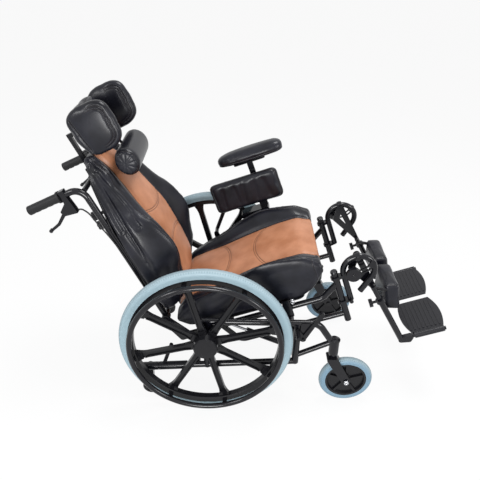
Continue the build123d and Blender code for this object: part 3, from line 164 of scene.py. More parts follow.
def add_lamp(name, at, aim, size, watts):
    """A round lamp that looks from one point to another."""
    lamp = bpy.data.lights.new(name, "AREA")
    lamp.shape, lamp.size, lamp.energy = "DISK", size, watts
    holder = bpy.data.objects.new(name, lamp)
    bpy.context.collection.objects.link(holder)
    holder.location = at
    away = np.array(at, float) - np.array(aim, float)
    away /= np.linalg.norm(away)
    side = np.cross((0.0, 0.0, 1.0), away)
    side /= np.linalg.norm(side)
    holder.matrix_world = Matrix.Translation(at) @ Matrix(
        np.stack([side, np.cross(away, side), away], 1).tolist()).to_4x4()


add_lamp("lamp_over", (0.6, 0.3, 3.2), (0, 0, 0.4), 1.3, 58)
add_lamp("lamp_camera", (-0.3, -2.8, 0.85), (-0.2, 0, 0.6), 1.0, 46)
add_lamp("lamp_front", (2.4, -1.6, 1.6), (0, 0, 0.5), 0.9, 26)
add_lamp("lamp_rear", (-2.2, -1.8, 2.2), (0, 0, 0.6), 0.9, 26)

WORLD_LIGHT, FLOOR_GLOW, FLOOR_HALF = 0.5, 0.9, 30
WHITE = (1, 1, 1, 1)

world = bpy.data.worlds.new("studio")
bpy.context.scene.world = world
world.use_nodes = True
wt = world.node_tree
wt.nodes.clear()
seen = plain_to(wt, "Is Camera Ray", "Is Glossy Ray", "Is Transmission Ray")
level = add_node(wt, "ShaderNodeMapRange", {"Value": seen, "To Min": WORLD_LIGHT, "To Max": 1.0})
sky = add_node(wt, "ShaderNodeBackground", {"Color": WHITE, "Strength": level.outputs[0]})
add_node(wt, "ShaderNodeOutputWorld", {"Surface": sky.outputs[0]})

corners = [(x * FLOOR_HALF, y * FLOOR_HALF, 0) for x, y in ((-1, -1), (1, -1), (1, 1), (-1, 1))]
floor_mesh = bpy.data.meshes.new("floor")
floor_mesh.from_pydata(corners, [], [(0, 1, 2, 3)])
floor = bpy.data.objects.new("floor", floor_mesh)
bpy.context.collection.objects.link(floor)
floor_look = bpy.data.materials.new("floor_look")
floor_look.use_nodes = True
ft = floor_look.node_tree
ft.nodes.clear()
seen = plain_to(ft, "Is Camera Ray", "Is Glossy Ray")
glow = add_node(ft, "ShaderNodeMath", {0: seen, 1: FLOOR_GLOW}, operation="MULTIPLY")
matt = add_node(ft, "ShaderNodeBsdfDiffuse", {"Color": (0.86, 0.86, 0.87, 1)})
white = add_node(ft, "ShaderNodeEmission", {"Color": WHITE, "Strength": 1.0})
both = add_node(ft, "ShaderNodeMixShader", {0: glow.outputs[0], 1: matt.outputs[0], 2: white.outputs[0]})
add_node(ft, "ShaderNodeOutputMaterial", {"Surface": both.outputs[0]})
floor_mesh.materials.append(floor_look)
bpy.context.scene.view_settings.view_transform = "Standard"
print("world light", WORLD_LIGHT, "and", len(bpy.data.lights), "lamps")

# %% [markdown]
# ## Surfaces from arrays
# A cover or a bolt could be modelled by hand, point by point. Here a shape is a grid of points
# worked out at once, so that one formula holds its form and a changed number changes all of it.
# The first helpers write a grid as a closed mesh, and turn a profile round an axis.

# %% Mesh helpers


def make_object(name, points, faces, smooth=True):
    """Writes points and faces to a mesh, and turns the faces outwards by the enclosed volume."""
    points = np.asarray(points, float)
    mesh = bpy.data.meshes.new(name)
    mesh.from_pydata(points.tolist(), [], [list(f) for f in faces])
    mesh.update()
    tri = np.array([(f[0], f[i], f[i + 1]) for f in faces for i in range(1, len(f) - 1)])
    a, b, c = points[tri[:, 0]], points[tri[:, 1]], points[tri[:, 2]]
    if np.einsum("ij,ij->i", a - points.mean(0), np.cross(b - points.mean(0), c - points.mean(0))).sum() < 0:
        mesh.flip_normals()
    mesh.shade_smooth() if smooth else mesh.shade_flat()
    made = bpy.data.objects.new(name, mesh)
    bpy.context.collection.objects.link(made)
    return made


def grid_faces(rows, columns):
    """Quads between neighbours of a rows x columns grid, whose columns close into rings."""
    index = np.arange(rows * columns).reshape(rows, columns)
    index = np.hstack([index, index[:, :1]])
    return np.stack([index[:-1, :-1], index[1:, :-1], index[1:, 1:], index[:-1, 1:]], -1).reshape(-1, 4)


def grid_object(name, grid):
    """A tube-like grid: its columns go round, and a fan closes its first and its last row."""
    rows, columns = grid.shape[:2]
    first, last = rows * columns, rows * columns + 1
    points = np.vstack([grid.reshape(-1, 3), grid[0].mean(0), grid[-1].mean(0)])
    faces = [tuple(f) for f in grid_faces(rows, columns)]
    for k in range(columns):
        after = (k + 1) % columns
        faces.append((first, after, k))
        faces.append((last, (rows - 1) * columns + k, (rows - 1) * columns + after))
    return make_object(name, points, faces)


def turned(profile, centre, axis, steps):
    """A profile of (along the axis, radius) turned round the axis: a row of points per step."""
    profile = np.asarray(profile, float)
    axis = np.asarray(axis, float) / np.linalg.norm(axis)
    helper = np.array([0, 0, 1.0]) if abs(axis[2]) < 0.9 else np.array([1.0, 0, 0])
    one = np.cross(axis, helper)
    one /= np.linalg.norm(one)
    two = np.cross(axis, one)
    angle = np.linspace(0, 2 * np.pi, steps, endpoint=False)
    spin = np.cos(angle)[:, None] * one + np.sin(angle)[:, None] * two
    along = profile[None, :, 0, None] * axis
    return np.asarray(centre) + along + profile[None, :, 1, None] * spin[:, None, :]


def knob_object(name, profile, centre, axis, steps):
    """A solid turned piece, closed across its two ends."""
    return grid_object(name, np.swapaxes(turned(profile, centre, axis, steps), 0, 1))


def read_points(piece):
    """Every vertex of a mesh object, as an array."""
    out = np.empty(len(piece.data.vertices) * 3)
    piece.data.vertices.foreach_get("co", out)
    return out.reshape(-1, 3)


def write_points(piece, points):
    piece.data.vertices.foreach_set("co", np.asarray(points, float).ravel())
    piece.data.update()


def read_normals(piece):
    out = np.empty(len(piece.data.vertices) * 3)
    piece.data.vertices.foreach_get("normal", out)
    return out.reshape(-1, 3)


def settle(piece):
    """Applies every modifier of a piece to its mesh."""
    ready = bpy.context.evaluated_depsgraph_get()
    final = bpy.data.meshes.new_from_object(piece.evaluated_get(ready), depsgraph=ready)
    piece.modifiers.clear()
    piece.data = final
    final.shade_smooth()


def store(piece, name, values):
    """Keeps one number per vertex on the mesh, for a material to read."""
    layer = piece.data.attributes.new(name, "FLOAT", "POINT")
    layer.data.foreach_set("value", np.asarray(values, float))


# %% [markdown]
# ## Stuffing
# A pad is foam under stretched leather. A smooth shape alone looks like plastic, so the cover is
# remeshed evenly and blown up a little with Cloth under pressure: faces crown and corners pull
# in the way real covers do. The result is eased, and seams are pressed in last, because
# remeshing would lose them.

# %% Stuffing and seams
PRESSURE, STUFFING_FRAMES, EASE_STEPS = 4.0, 20, 7


def remesh(piece, voxel):
    """Covers the piece anew with even quads of about voxel metres."""
    cut = piece.modifiers.new("even", "REMESH")
    cut.mode, cut.voxel_size, cut.use_smooth_shade = "VOXEL", voxel, True
    settle(piece)


def ease(piece, steps):
    """Smooths the cover: each step moves every point half way to its neighbours' middle."""
    smooth = piece.modifiers.new("ease", "SMOOTH")
    smooth.factor, smooth.iterations = 0.5, steps
    settle(piece)


def blown(piece):
    """Where the piece's points are after Cloth has pushed them out for some frames."""
    cloth = piece.modifiers.new("stuffing", "CLOTH")
    cloth.settings.quality = 4
    cloth.settings.mass = 0.3
    cloth.settings.tension_stiffness = cloth.settings.compression_stiffness = 15
    cloth.settings.bending_stiffness = 0.6
    cloth.settings.use_pressure = True
    cloth.settings.uniform_pressure_force = PRESSURE
    cloth.settings.effector_weights.gravity = 0
    cloth.collision_settings.use_collision = False
    cloth.point_cache.frame_start, cloth.point_cache.frame_end = 1, STUFFING_FRAMES
    for number in range(1, STUFFING_FRAMES + 1):
        bpy.context.scene.frame_set(number)
    ready = bpy.context.evaluated_depsgraph_get()
    shown = piece.evaluated_get(ready).to_mesh()
    points = np.empty(len(shown.vertices) * 3)
    shown.vertices.foreach_get("co", points)
    piece.evaluated_get(ready).to_mesh_clear()
    piece.modifiers.remove(cloth)
    bpy.context.scene.frame_set(1)
    return points.reshape(-1, 3)


def stuff(piece, voxel, cap, hold=None):
    """Remeshes and stuffs a cover. Points move cap metres at most, times what hold gives."""
    remesh(piece, voxel)
    start = read_points(piece)
    shift = blown(piece) - start
    size = np.linalg.norm(shift, axis=1, keepdims=True)
    shift *= np.minimum(1, cap / np.maximum(size, 1e-9))
    if hold is not None:
        shift *= hold(start)[:, None]
    write_points(piece, start + shift)
    ease(piece, EASE_STEPS)
    fine = piece.modifiers.new("fine", "SUBSURF")
    fine.levels = fine.render_levels = 1
    settle(piece)


def press(piece, distance, depth, width, where=1.0, way=None):
    """Presses a soft groove, depth metres and width mm, where the distance to a line is small."""
    groove = depth * np.exp(-(distance / width) ** 2) * where
    inward = -read_normals(piece) if way is None else way
    write_points(piece, read_points(piece) + inward * groove[:, None])


def fade(value, low, high):
    """0 below low, 1 above high, smooth between."""
    t = np.clip((value - low) / (high - low), 0, 1)
    return t * t * (3 - 2 * t)


# %% [markdown]
# ## Shared surface effects
# Leather creases, fine pebble grain, worn paint and dust are used by several finishes, so each
# is a node group with its own dials. A group only gives masks and heights. The mask of upward
# faces is dust on paint, and on the tyres it also places a painted highlight.

# %% Node groups


def new_group(name, ins, outs):
    """An empty node group with named dials and outputs."""
    tree = bpy.data.node_groups.new(name, "ShaderNodeTree")
    for label, value in ins.items():
        made = tree.interface.new_socket(label, in_out="INPUT", socket_type="NodeSocketFloat")
        made.default_value = value
    for label in outs:
        tree.interface.new_socket(label, in_out="OUTPUT", socket_type="NodeSocketFloat")
    return tree, tree.nodes.new("NodeGroupInput"), tree.nodes.new("NodeGroupOutput")


def math(tree, operation, *values):
    """One sum on numbers or sockets."""
    return add_node(tree, "ShaderNodeMath", dict(enumerate(values)), operation=operation).outputs[0]


grain, given, out = new_group("leather_grain", {"Scale": 260.0, "Creases": 0.35}, ["Height", "Mottle"])
spot = add_node(grain, "ShaderNodeTexCoord").outputs["Object"]
pebble = add_node(grain, "ShaderNodeTexVoronoi", {"Vector": spot, "Scale": given.outputs["Scale"]},
                  feature="F1")
soft = add_node(grain, "ShaderNodeTexNoise", {"Vector": spot, "Scale": 14.0, "Detail": 4.0})
crease = add_node(grain, "ShaderNodeTexNoise", {"Vector": spot, "Scale": 38.0, "Detail": 6.0,
                                               "Distortion": 1.6})
ridge = math(grain, "ABSOLUTE", math(grain, "SUBTRACT", crease.outputs[0], 0.5))
ridge = math(grain, "MULTIPLY", math(grain, "MINIMUM", math(grain, "MULTIPLY", ridge, 9.0), 1.0),
             given.outputs["Creases"])
total = math(grain, "ADD", math(grain, "MULTIPLY", pebble.outputs["Distance"], 0.35), ridge)
grain.links.new(total, out.inputs["Height"])
grain.links.new(soft.outputs[0], out.inputs["Mottle"])

# The mask of upward faces times noise patches is dust on paint, and on the tyres it also places a painted
# highlight on top.
wear, given, out = new_group("wear_dust_and_sheen", {"Scale": 22.0, "Amount": 0.4}, ["Scuff", "DustAndSheen"])
spot = add_node(wear, "ShaderNodeTexCoord").outputs["Object"]
patch = add_node(wear, "ShaderNodeTexNoise", {"Vector": spot, "Scale": given.outputs["Scale"],
                                             "Detail": 8.0, "Roughness": 0.65})
scuff = add_node(wear, "ShaderNodeMapRange", {"Value": patch.outputs[0], "From Min": 0.55,
                                              "From Max": 0.75})
wear.links.new(math(wear, "MULTIPLY", scuff.outputs[0], given.outputs["Amount"]), out.inputs["Scuff"])
normal = add_node(wear, "ShaderNodeNewGeometry").outputs["Normal"]
facing = add_node(wear, "ShaderNodeSeparateXYZ", {0: normal})
upward_patches = math(wear, "MULTIPLY", math(wear, "MAXIMUM", facing.outputs[2], 0.0), patch.outputs[0])
wear.links.new(math(wear, "MULTIPLY", upward_patches, given.outputs["Amount"]), out.inputs["DustAndSheen"])
print("groups", grain.name, "and", wear.name)

# %% [markdown]
# ## Finishes
# Black leather, painted tube, moulded plastic and chrome differ in how they shine and wear, not
# in their recipe. Each starts as a Principled surface whose colour and roughness vary a little,
# with a bump from one of the groups.

# %% Finishes
SOFT_SHINE, LEATHER_ROUGH = 0.3, (0.24, 0.4)
BLACK_LEATHER = ((0.0032, 0.0034, 0.0062, 1), (0.0085, 0.009, 0.0145, 1))
TAN_LEATHER = ((0.36, 0.145, 0.07, 1), (0.48, 0.215, 0.118, 1))
DUST = (0.028, 0.028, 0.033, 1)


def begin(name, shine=SOFT_SHINE, metallic=0.0):
    """A new material with one Principled surface, its node tree and that surface."""
    look = bpy.data.materials.new(name)
    look.use_nodes = True
    tree = look.node_tree
    tree.nodes.clear()
    surface = add_node(tree, "ShaderNodeBsdfPrincipled", {"Specular IOR Level": shine, "Metallic": metallic})
    add_node(tree, "ShaderNodeOutputMaterial", {"Surface": surface.outputs[0]})
    return look, tree, surface


def place_group(tree, group, **sockets):
    """Puts a shared group into a material, with values of its own."""
    made = tree.nodes.new("ShaderNodeGroup")
    made.node_tree = group
    for label, value in sockets.items():
        made.inputs[label].default_value = value
    return made


def mix_colour(tree, factor, one, two):
    """One where factor is 0 and two where it is 1. The node's colours are inputs 6 and 7, output 2."""
    return add_node(tree, "ShaderNodeMix", {0: factor, 6: one, 7: two}, data_type="RGBA").outputs[2]


def remap(tree, value, low, high, start=0.0, end=1.0):
    """Low where value is start, high where it is end, a straight line between."""
    return add_node(tree, "ShaderNodeMapRange", {"Value": value, "From Min": start, "From Max": end,
                                                 "To Min": low, "To Max": high}).outputs[0]


def bump(tree, surface, height, strength, distance):
    """Lets a height, in metres of distance, tilt the surface."""
    relief = add_node(tree, "ShaderNodeBump", {"Strength": strength, "Distance": distance,
                                               "Height": height})
    tree.links.new(relief.outputs[0], surface.inputs["Normal"])


def leather_tone(tree, skin, dark, light):
    """The slow change between a leather's two tones."""
    return mix_colour(tree, remap(tree, skin.outputs["Mottle"], 0, 1, 0.35, 0.65), dark, light)


def leather(name):
    """Black leather: its tone, its roughness, and the grain that a bump can use."""
    look, tree, surface = begin(name)
    skin = place_group(tree, grain, Scale=300.0, Creases=0.1)
    return look, tree, surface, skin, remap(tree, skin.outputs["Mottle"], *LEATHER_ROUGH)


def plain_leather(name):
    """Coated leather: pebble grain, fine creases, and a slow change of tone."""
    look, tree, surface, skin, rough = leather(name)
    tree.links.new(leather_tone(tree, skin, *BLACK_LEATHER), surface.inputs["Base Color"])
    tree.links.new(rough, surface.inputs["Roughness"])
    bump(tree, surface, skin.outputs["Height"], 0.1, 0.0006)
    return look


def coated(name, colour, worn=DUST, rough=(0.16, 0.34), metallic=0.0, shine=SOFT_SHINE, scale=22.0,
           relief=0.05):
    """Paint, plated metal or moulding: smooth, with faint scuffs and dust on upward faces."""
    look, tree, surface = begin(name, shine, metallic)
    marks = place_group(tree, wear, Scale=scale, Amount=0.35)
    tree.links.new(mix_colour(tree, marks.outputs["DustAndSheen"], colour, worn), surface.inputs["Base Color"])
    tree.links.new(remap(tree, marks.outputs["Scuff"], *rough), surface.inputs["Roughness"])
    bump(tree, surface, marks.outputs["Scuff"], relief, 0.0004)
    return look


black_leather = plain_leather("black_leather")
black_paint = coated("black_paint", (0.0035, 0.0035, 0.0055, 1), shine=0.36)
black_moulding = coated("black_moulding", (0.0045, 0.0045, 0.006, 1), rough=(0.26, 0.42))
panel_moulding = coated("panel_moulding", (0.006, 0.006, 0.0075, 1), rough=(0.5, 0.65), scale=60.0,
                        relief=0.2)
foot_moulding = coated("foot_moulding", (0.008, 0.008, 0.011, 1), rough=(0.34, 0.5), scale=80.0,
                       relief=0.15)
black_rubber = coated("black_rubber", (0.006, 0.006, 0.007, 1), rough=(0.5, 0.7), scale=120.0,
                      relief=0.25)
chrome = coated("chrome", (0.62, 0.63, 0.66, 1), (0.45, 0.45, 0.46, 1), rough=(0.08, 0.24), metallic=1.0,
                shine=0.5)
print("finishes from", black_leather.name, "to", chrome.name)

# %% [markdown]
# ## Tyres
# The grey tyres have a worn, paler tread with three grooves, fine ribs on the shoulders and a
# darker side wall. Modelled ribs would take tens of thousands of faces. So all of these are drawn
# by the distance from the tyre's middle and the angle round its axle, both measured on the piece
# itself, and the pattern turns with the wheel. The grooves and rib gaps get painted shade, and
# upward faces get dust patches in a paler colour that is also a painted highlight on the top.

# %% Tyre rubber
# The second colour, for upward faces, is dust and a painted highlight.
WORN_TREAD, DUST_AND_HIGHLIGHT_TREAD = (0.27, 0.365, 0.41, 1), (0.40, 0.48, 0.52, 1)
# Painted shade for the tyre's grooves and rib gaps.
GROOVE_SHADE = (0.06, 0.10, 0.125, 1)


def band(tree, value, centre, half, soft):
    """1 where value is within half of centre, fading over soft."""
    away = math(tree, "ABSOLUTE", math(tree, "SUBTRACT", value, centre))
    return remap(tree, away, 1.0, 0.0, half, half + soft)


def tyre_look(name, middle, axle_x, axle_z, ribs, half, wall):
    """Rubber for a tyre at middle metres to each side, half metres wide to each side of that."""
    look, tree, surface = begin(name)
    marks = place_group(tree, wear, Scale=34.0, Amount=0.6)
    spot = add_node(tree, "ShaderNodeTexCoord").outputs["Object"]
    at = add_node(tree, "ShaderNodeSeparateXYZ", {0: spot}).outputs
    off = math(tree, "ABSOLUTE", math(tree, "SUBTRACT", math(tree, "ABSOLUTE", at[1]), middle))
    off = math(tree, "DIVIDE", off, half)
    angle = math(tree, "ARCTAN2", math(tree, "SUBTRACT", at[2], axle_z),
                 math(tree, "SUBTRACT", at[0], axle_x))
    rib = math(tree, "ABSOLUTE", math(tree, "SINE", math(tree, "MULTIPLY", angle, ribs)))
    gap = math(tree, "SUBTRACT", 1.0, rib)
    shoulder = math(tree, "MULTIPLY", band(tree, off, 0.66, 0.12, 0.05), gap)
    grooves = math(tree, "MAXIMUM", band(tree, off, 0.0, 0.04, 0.05), band(tree, off, 0.32, 0.04, 0.05))
    cut = math(tree, "MAXIMUM", grooves, shoulder)
    tone = mix_colour(tree, remap(tree, off, 1.0, 0.0, 0.5, 0.9), wall, WORN_TREAD)
    # Painted highlight: the tyre's upward faces turn a paler tread colour, in dust patches.
    tone = mix_colour(tree, marks.outputs["DustAndSheen"], tone, DUST_AND_HIGHLIGHT_TREAD)
    # Painted shade: the grooves and rib gaps are darkened.
    tone = mix_colour(tree, math(tree, "MULTIPLY", cut, 0.4), tone, GROOVE_SHADE)
    tree.links.new(tone, surface.inputs["Base Color"])
    tree.links.new(remap(tree, marks.outputs["Scuff"], 0.42, 0.62), surface.inputs["Roughness"])
    bump(tree, surface, math(tree, "SUBTRACT", 1.0, cut), 0.6, 0.0012)
    return look


rear_tyre_rubber = tyre_look("rear_tyre_rubber", 0.300, AXLE_X / 1000, 0.305, 110.0, 0.016,
                             (0.24, 0.335, 0.38, 1))
caster_tyre_rubber = tyre_look("caster_tyre_rubber", 0.246, (CASTER_X + AXLE_X) / 1000, CASTER_Z / 1000,
                               40.0, 0.015, (0.15, 0.245, 0.32, 1))
print("tyres", rear_tyre_rubber.name, "and", caster_tyre_rubber.name)

# %% [markdown]
# ## Finishes for the metal and moulded pieces
# The tubes and mouldings of the CAD model have the right shape, so nothing is made anew for
# them. Each keeps its own mesh and is given the finish that its slot in the record names.

# %% Dress the CAD nodes
by_finish = {
    "black_frame": black_paint, "handrim_alloy": black_paint, "black_plastic": black_moulding,
    "panel_plastic": panel_moulding, "foot_plastic": foot_moulding, "black_rubber": black_rubber,
    "cable_rubber": black_rubber, "spring_rod_chrome": chrome, "grey_tyre": rear_tyre_rubber,
    "leatherette": black_leather,
}
slot_of = {part["node"]: part["material_slot"] for part in frame["record"]["subparts"]}
for node, shown in frame["nodes"].items():
    look = caster_tyre_rubber if "caster_tyre" in node else by_finish[slot_of[node]]
    shown.data.materials.clear()
    shown.data.materials.append(look)
print("dressed", len(frame["nodes"]), "nodes")

# %% [markdown]
# ## Seams in the material
# A real seam is a folded edge with a row of stitches. As a mesh it would need very fine faces, and
# remeshing a cover leaves it too coarse. So each vertex stores how far it is from the nearest
# seam, in millimetres, and the material draws the line, its groove and its stitches from that
# number. Distances change evenly over a surface, so the lines stay sharp.

# %% Leathers with seams
THREAD, SEAM_SHADE = (0.06, 0.06, 0.075, 1), (0.008, 0.005, 0.005, 1)


def attribute(tree, name):
    return add_node(tree, "ShaderNodeAttribute", attribute_name=name).outputs["Fac"]


def stitch_row(tree, distance, along, offset, pitch=5.0):
    """Dashes of thread at a distance from a seam: a band, cut by the fraction of along / pitch."""
    dash = math(tree, "LESS_THAN", math(tree, "FRACT", math(tree, "DIVIDE", along, pitch)), 0.62)
    return math(tree, "MULTIPLY", band(tree, distance, offset, 0.35, 0.3), dash)


def seamed_leather(name, two_tone=False):
    """Black leather with seams and stitched rows, and if asked a tan leather inside a border."""
    look, tree, surface, skin, rough = leather(name)
    tone = leather_tone(tree, skin, *BLACK_LEATHER)
    seam, along = attribute(tree, "seam"), attribute(tree, "along")
    groove = band(tree, seam, 0.0, 0.6, 1.4)
    rows = math(tree, "MULTIPLY", stitch_row(tree, seam, along, 3.2), 1.0 if two_tone else 0.35)
    if two_tone:
        border, arc = attribute(tree, "border"), attribute(tree, "arc")
        inside = remap(tree, border, 1.0, 0.0, -0.5, 0.5)
        tone = mix_colour(tree, inside, tone, leather_tone(tree, skin, *TAN_LEATHER))
        rough = math(tree, "ADD", rough, math(tree, "MULTIPLY", inside, 0.1))
        deep = remap(tree, border, 0.0, 1.0, -3.0, -1.0)
        lines = band(tree, math(tree, "ABSOLUTE", arc), 3.6, 0.5, 1.1)
        lines = math(tree, "MULTIPLY", lines, math(tree, "SUBTRACT", 1.0, deep))
        lines = math(tree, "MAXIMUM", lines, band(tree, border, 0.6, 0.7, 0.8))
        groove = math(tree, "MAXIMUM", groove, lines)
        rows = math(tree, "MAXIMUM", rows, stitch_row(tree, border, along, 5.0))
    tone = mix_colour(tree, math(tree, "MULTIPLY", groove, 0.62), tone, SEAM_SHADE)
    tone = mix_colour(tree, math(tree, "MULTIPLY", rows, 0.8), tone, THREAD)
    tree.links.new(tone, surface.inputs["Base Color"])
    tree.links.new(rough, surface.inputs["Roughness"])
    raised = math(tree, "ADD", math(tree, "MULTIPLY", skin.outputs["Height"], 0.07),
                  math(tree, "MULTIPLY", rows, 0.3))
    bump(tree, surface, math(tree, "SUBTRACT", raised, math(tree, "MULTIPLY", groove, 1.3)), 0.9, 0.0006)
    return look


cushion_leather = seamed_leather("cushion_leather", two_tone=True)
pad_leather = seamed_leather("pad_leather")
print("seamed leathers", cushion_leather.name, "and", pad_leather.name)

# %% [markdown]
# ## Seat and back cushions
# Each cushion is foam on a flat base, with a bolster at each side and a crowned middle under a
# sewn panel. Its shape changes along its length, so it is drawn as rows of cross-sections that
# are blended smoothly, with rounded ends. The rows follow the CAD solid, with the panel seam where
# the photograph has it, and the cover is then stuffed.

# %% Cushion shapes
NOSE, PULL, SWELL = 11.0, 9.0, 3.0
CUSHION_VOXEL, CUSHION_CAP, CUSHION_FILL = 0.006, 0.005, 0.8
PANEL_GROOVE, ARC_GROOVE = (0.0045, 9.0), (0.0022, 8.0)
# A row of a cushion's table: place, half width, low, side top, then crest's y and height, then
# valley, middle and seam. These columns are read by name:
PLACE, HALF, CREST_Y, SEAM = 0, 1, 4, 8


def blend_rows(table, places):
    """Cubic blend of every column of a table at new values of its first column."""
    x, rest = table[:, PLACE], table[:, HALF:]
    slope = np.gradient(rest, x, axis=0)
    k = np.clip(np.searchsorted(x, places) - 1, 0, len(x) - 2)
    width = (x[k + 1] - x[k])[:, None]
    t = (places - x[k])[:, None] / width
    return ((1 + 2 * t) * (1 - t) ** 2 * rest[k] + t * (1 - t) ** 2 * width * slope[k]
            + t * t * (3 - 2 * t) * rest[k + 1] + t * t * (t - 1) * width * slope[k + 1])


def through(t, one, middle, two):
    """Parabola through three values, at 0, a half and 1."""
    return one * (1 - t) * (1 - 2 * t) + 4 * middle * t * (1 - t) + two * t * (2 * t - 1)


def rounded_end(ring, way):
    """Rings that shrink a cross-section towards its middle, along a quarter of an ellipse."""
    turn = np.radians([20, 40, 60, 80])[:, None]
    mid_v, reach_y = (ring[:, 2].max() + ring[:, 2].min()) / 2, ring[:, 1].max()
    reach_v = ring[:, 2].max() - mid_v
    depth = min(NOSE, 0.85 * reach_v)
    cut = depth * (1 - np.cos(turn))
    return np.stack([ring[:, 0] + way * depth * 0.8 * np.sin(turn), ring[:, 1] * (1 - cut / reach_y),
                     mid_v + (ring[:, 2] - mid_v) * (1 - cut / reach_v)], -1)


def cushion_grid(table, steps):
    """Closed cross-sections: parabolas from the middle over seam, crest and side to the base."""
    places = np.linspace(table[0, PLACE], table[-1, PLACE], steps)
    half, low, side_top, crest_y, crest, valley, middle, seam = blend_rows(table, places).T[:, :, None]
    t = np.linspace(0, 1, 15)[None, 1:]
    brim = half - PULL / 2
    width = [0 * half, seam * t, through(t, seam, (seam + crest_y) / 2, crest_y),
             through(t, crest_y, (crest_y + brim) / 2 + SWELL, brim),
             through(t, brim, half, half - PULL), (half - PULL) * (1 - t[:, :-1])]
    height = [middle, middle + (valley - middle) * t * t,
              through(t, valley, (valley + crest) / 2 + SWELL, crest),
              through(t, crest, (crest + side_top) / 2 + SWELL, side_top),
              through(t, side_top, (side_top + low) / 2, low), low + 0 * t[:, :-1]]
    width, height = (np.hstack([np.broadcast_to(part, (steps, part.shape[1])) for part in parts])
                     for parts in (width, height))
    y = np.hstack([width, 0 * half, -width[:, :0:-1]])
    v = np.hstack([height, low, height[:, :0:-1]])
    body = np.stack([np.repeat(places[:, None], y.shape[1], 1), y, v], -1)
    return np.concatenate([rounded_end(body[0], -1)[::-1], body, rounded_end(body[-1], 1)])


def line_distance(points, line):
    """Distance from each point to a chain of straight runs, in any number of dimensions."""
    best = np.full(len(points), 1e9)
    for start, end in zip(line[:-1], line[1:]):
        start, run = np.asarray(start, float), np.subtract(end, start)
        t = np.clip((points - start) @ run / (run @ run), 0, 1)
        best = np.minimum(best, np.linalg.norm(points - start - t[:, None] * run, axis=1))
    return best


def nearer(one, two):
    """Of two signed distances, the one that is closer to zero."""
    return np.where(np.abs(one) < np.abs(two), one, two)


def dress(piece, node, body, look):
    """Puts a cover in the place of its CAD node, on that node's body."""
    piece.data.materials.append(look)
    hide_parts(node)
    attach(piece, body)
    print(piece.name, len(piece.data.vertices), "points")


# %% Seat cushion
SEAT_HALF, SEAT_SEAM, FRONT_WELT = 220.0, 137.0, 101.0
seat_rows = np.array([
    (-419, 72, 86, 180, 105, 94, 103), (-398, 48, 94, 184, 119, 110, 121),
    (-350, 37, 106, 194, 137, 121, 131), (-245, 37, 122, 204, 163, 129, 141),
    (-140, 37, 148, 208, 196, 143, 154), (-60, 37, 164, 209, 210, 152, 164),
    (30, 37, 166, 204, 200, 158, 170), (92, 71, 160, 196, 184, 155, 165),
    (122, 108, 148, 188, 162, 143, 151)], float)
seat_table = np.insert(seat_rows, HALF, SEAT_HALF, axis=1)
seat_table = np.hstack([seat_table, np.full((len(seat_table), 1), SEAT_SEAM)])


def seat_hold(points):
    """0 at the seat pan and at the sides, and 1 on top, which may swell."""
    _, y, v = seen_from_seat(points).T
    return fade(v, 45, 90) * fade(SEAT_HALF - np.abs(y), 0, 30)


seat_cushion = grid_object("seat_cushion_cover", on_seat(cushion_grid(seat_table, 76)))
stuff(seat_cushion, CUSHION_VOXEL, CUSHION_CAP, seat_hold)
u, y, v = seen_from_seat(read_points(seat_cushion)).T
from_panel = np.abs(y) - SEAT_SEAM
from_welt = np.abs(y) - np.interp(u, seat_table[:, PLACE], seat_table[:, CREST_Y]) + 6
from_front = u - FRONT_WELT
arcs = nearer(np.hypot(u - 127, y) - 230, np.hypot(u + 435, y) - 230)
press(seat_cushion, from_panel, *PANEL_GROOVE, fade(v, 60, 90))
press(seat_cushion, from_welt, 0.0018, 5.0, fade(v, 100, 120))
press(seat_cushion, arcs, *ARC_GROOVE, fade(v, 60, 90) * fade(-np.abs(y), -SEAT_SEAM, -SEAT_SEAM + 20))
outside = from_welt > 0
seam = np.where(outside, nearer(from_welt, from_front), from_welt)
store(seat_cushion, "seam", np.where(v > 60, seam, 20))
store(seat_cushion, "along", np.where(outside & (np.abs(from_front) < np.abs(from_welt)), v, u))
store(seat_cushion, "border", np.maximum(from_panel, 60 - v))
store(seat_cushion, "arc", arcs)
dress(seat_cushion, "seat_cushion", "seat", cushion_leather)

# %% [markdown]
# ## Back cushion
# The back narrows towards the top and its side bolsters carry long slack folds. Cloth could
# wrinkle them by itself, but never where the photograph has them, so each fold is a chain of
# straight runs along which the leather is pressed sideways into the bolster.

# %% Back cushion
back_table = np.array([
    (-92, 203, 7.6, 44, 160, 78, 83, 91, 112), (-60, 218, 7.6, 56, 171, 103, 96, 106, 118),
    (20, 222, 7.6, 76, 174, 136, 107, 118, 118), (110, 222, 7.6, 82, 174, 164, 110, 121, 118),
    (190, 219, 7.6, 74, 172, 153, 108, 119, 116), (290, 204, 7.6, 58, 160, 113, 89, 101, 108),
    (380, 176, 7.6, 44, 139, 86, 72, 83, 94), (450, 146, 7.6, 34, 116, 64, 52, 62, 78),
    (488, 111, 7.6, 20, 89, 37, 31, 39, 60)], float)
FOLDS = ((0.013, [(470, 22), (400, 36), (300, 48), (180, 56), (90, 58)]),
         (0.010, [(462, 14), (410, 20), (330, 30), (250, 34)]),
         (0.011, [(440, 40), (380, 58), (320, 74), (240, 92)]))


def back_hold(points):
    """0 at the back panel and 1 in front of it."""
    return fade(seen_from_back(points)[:, 0], 14, 50)


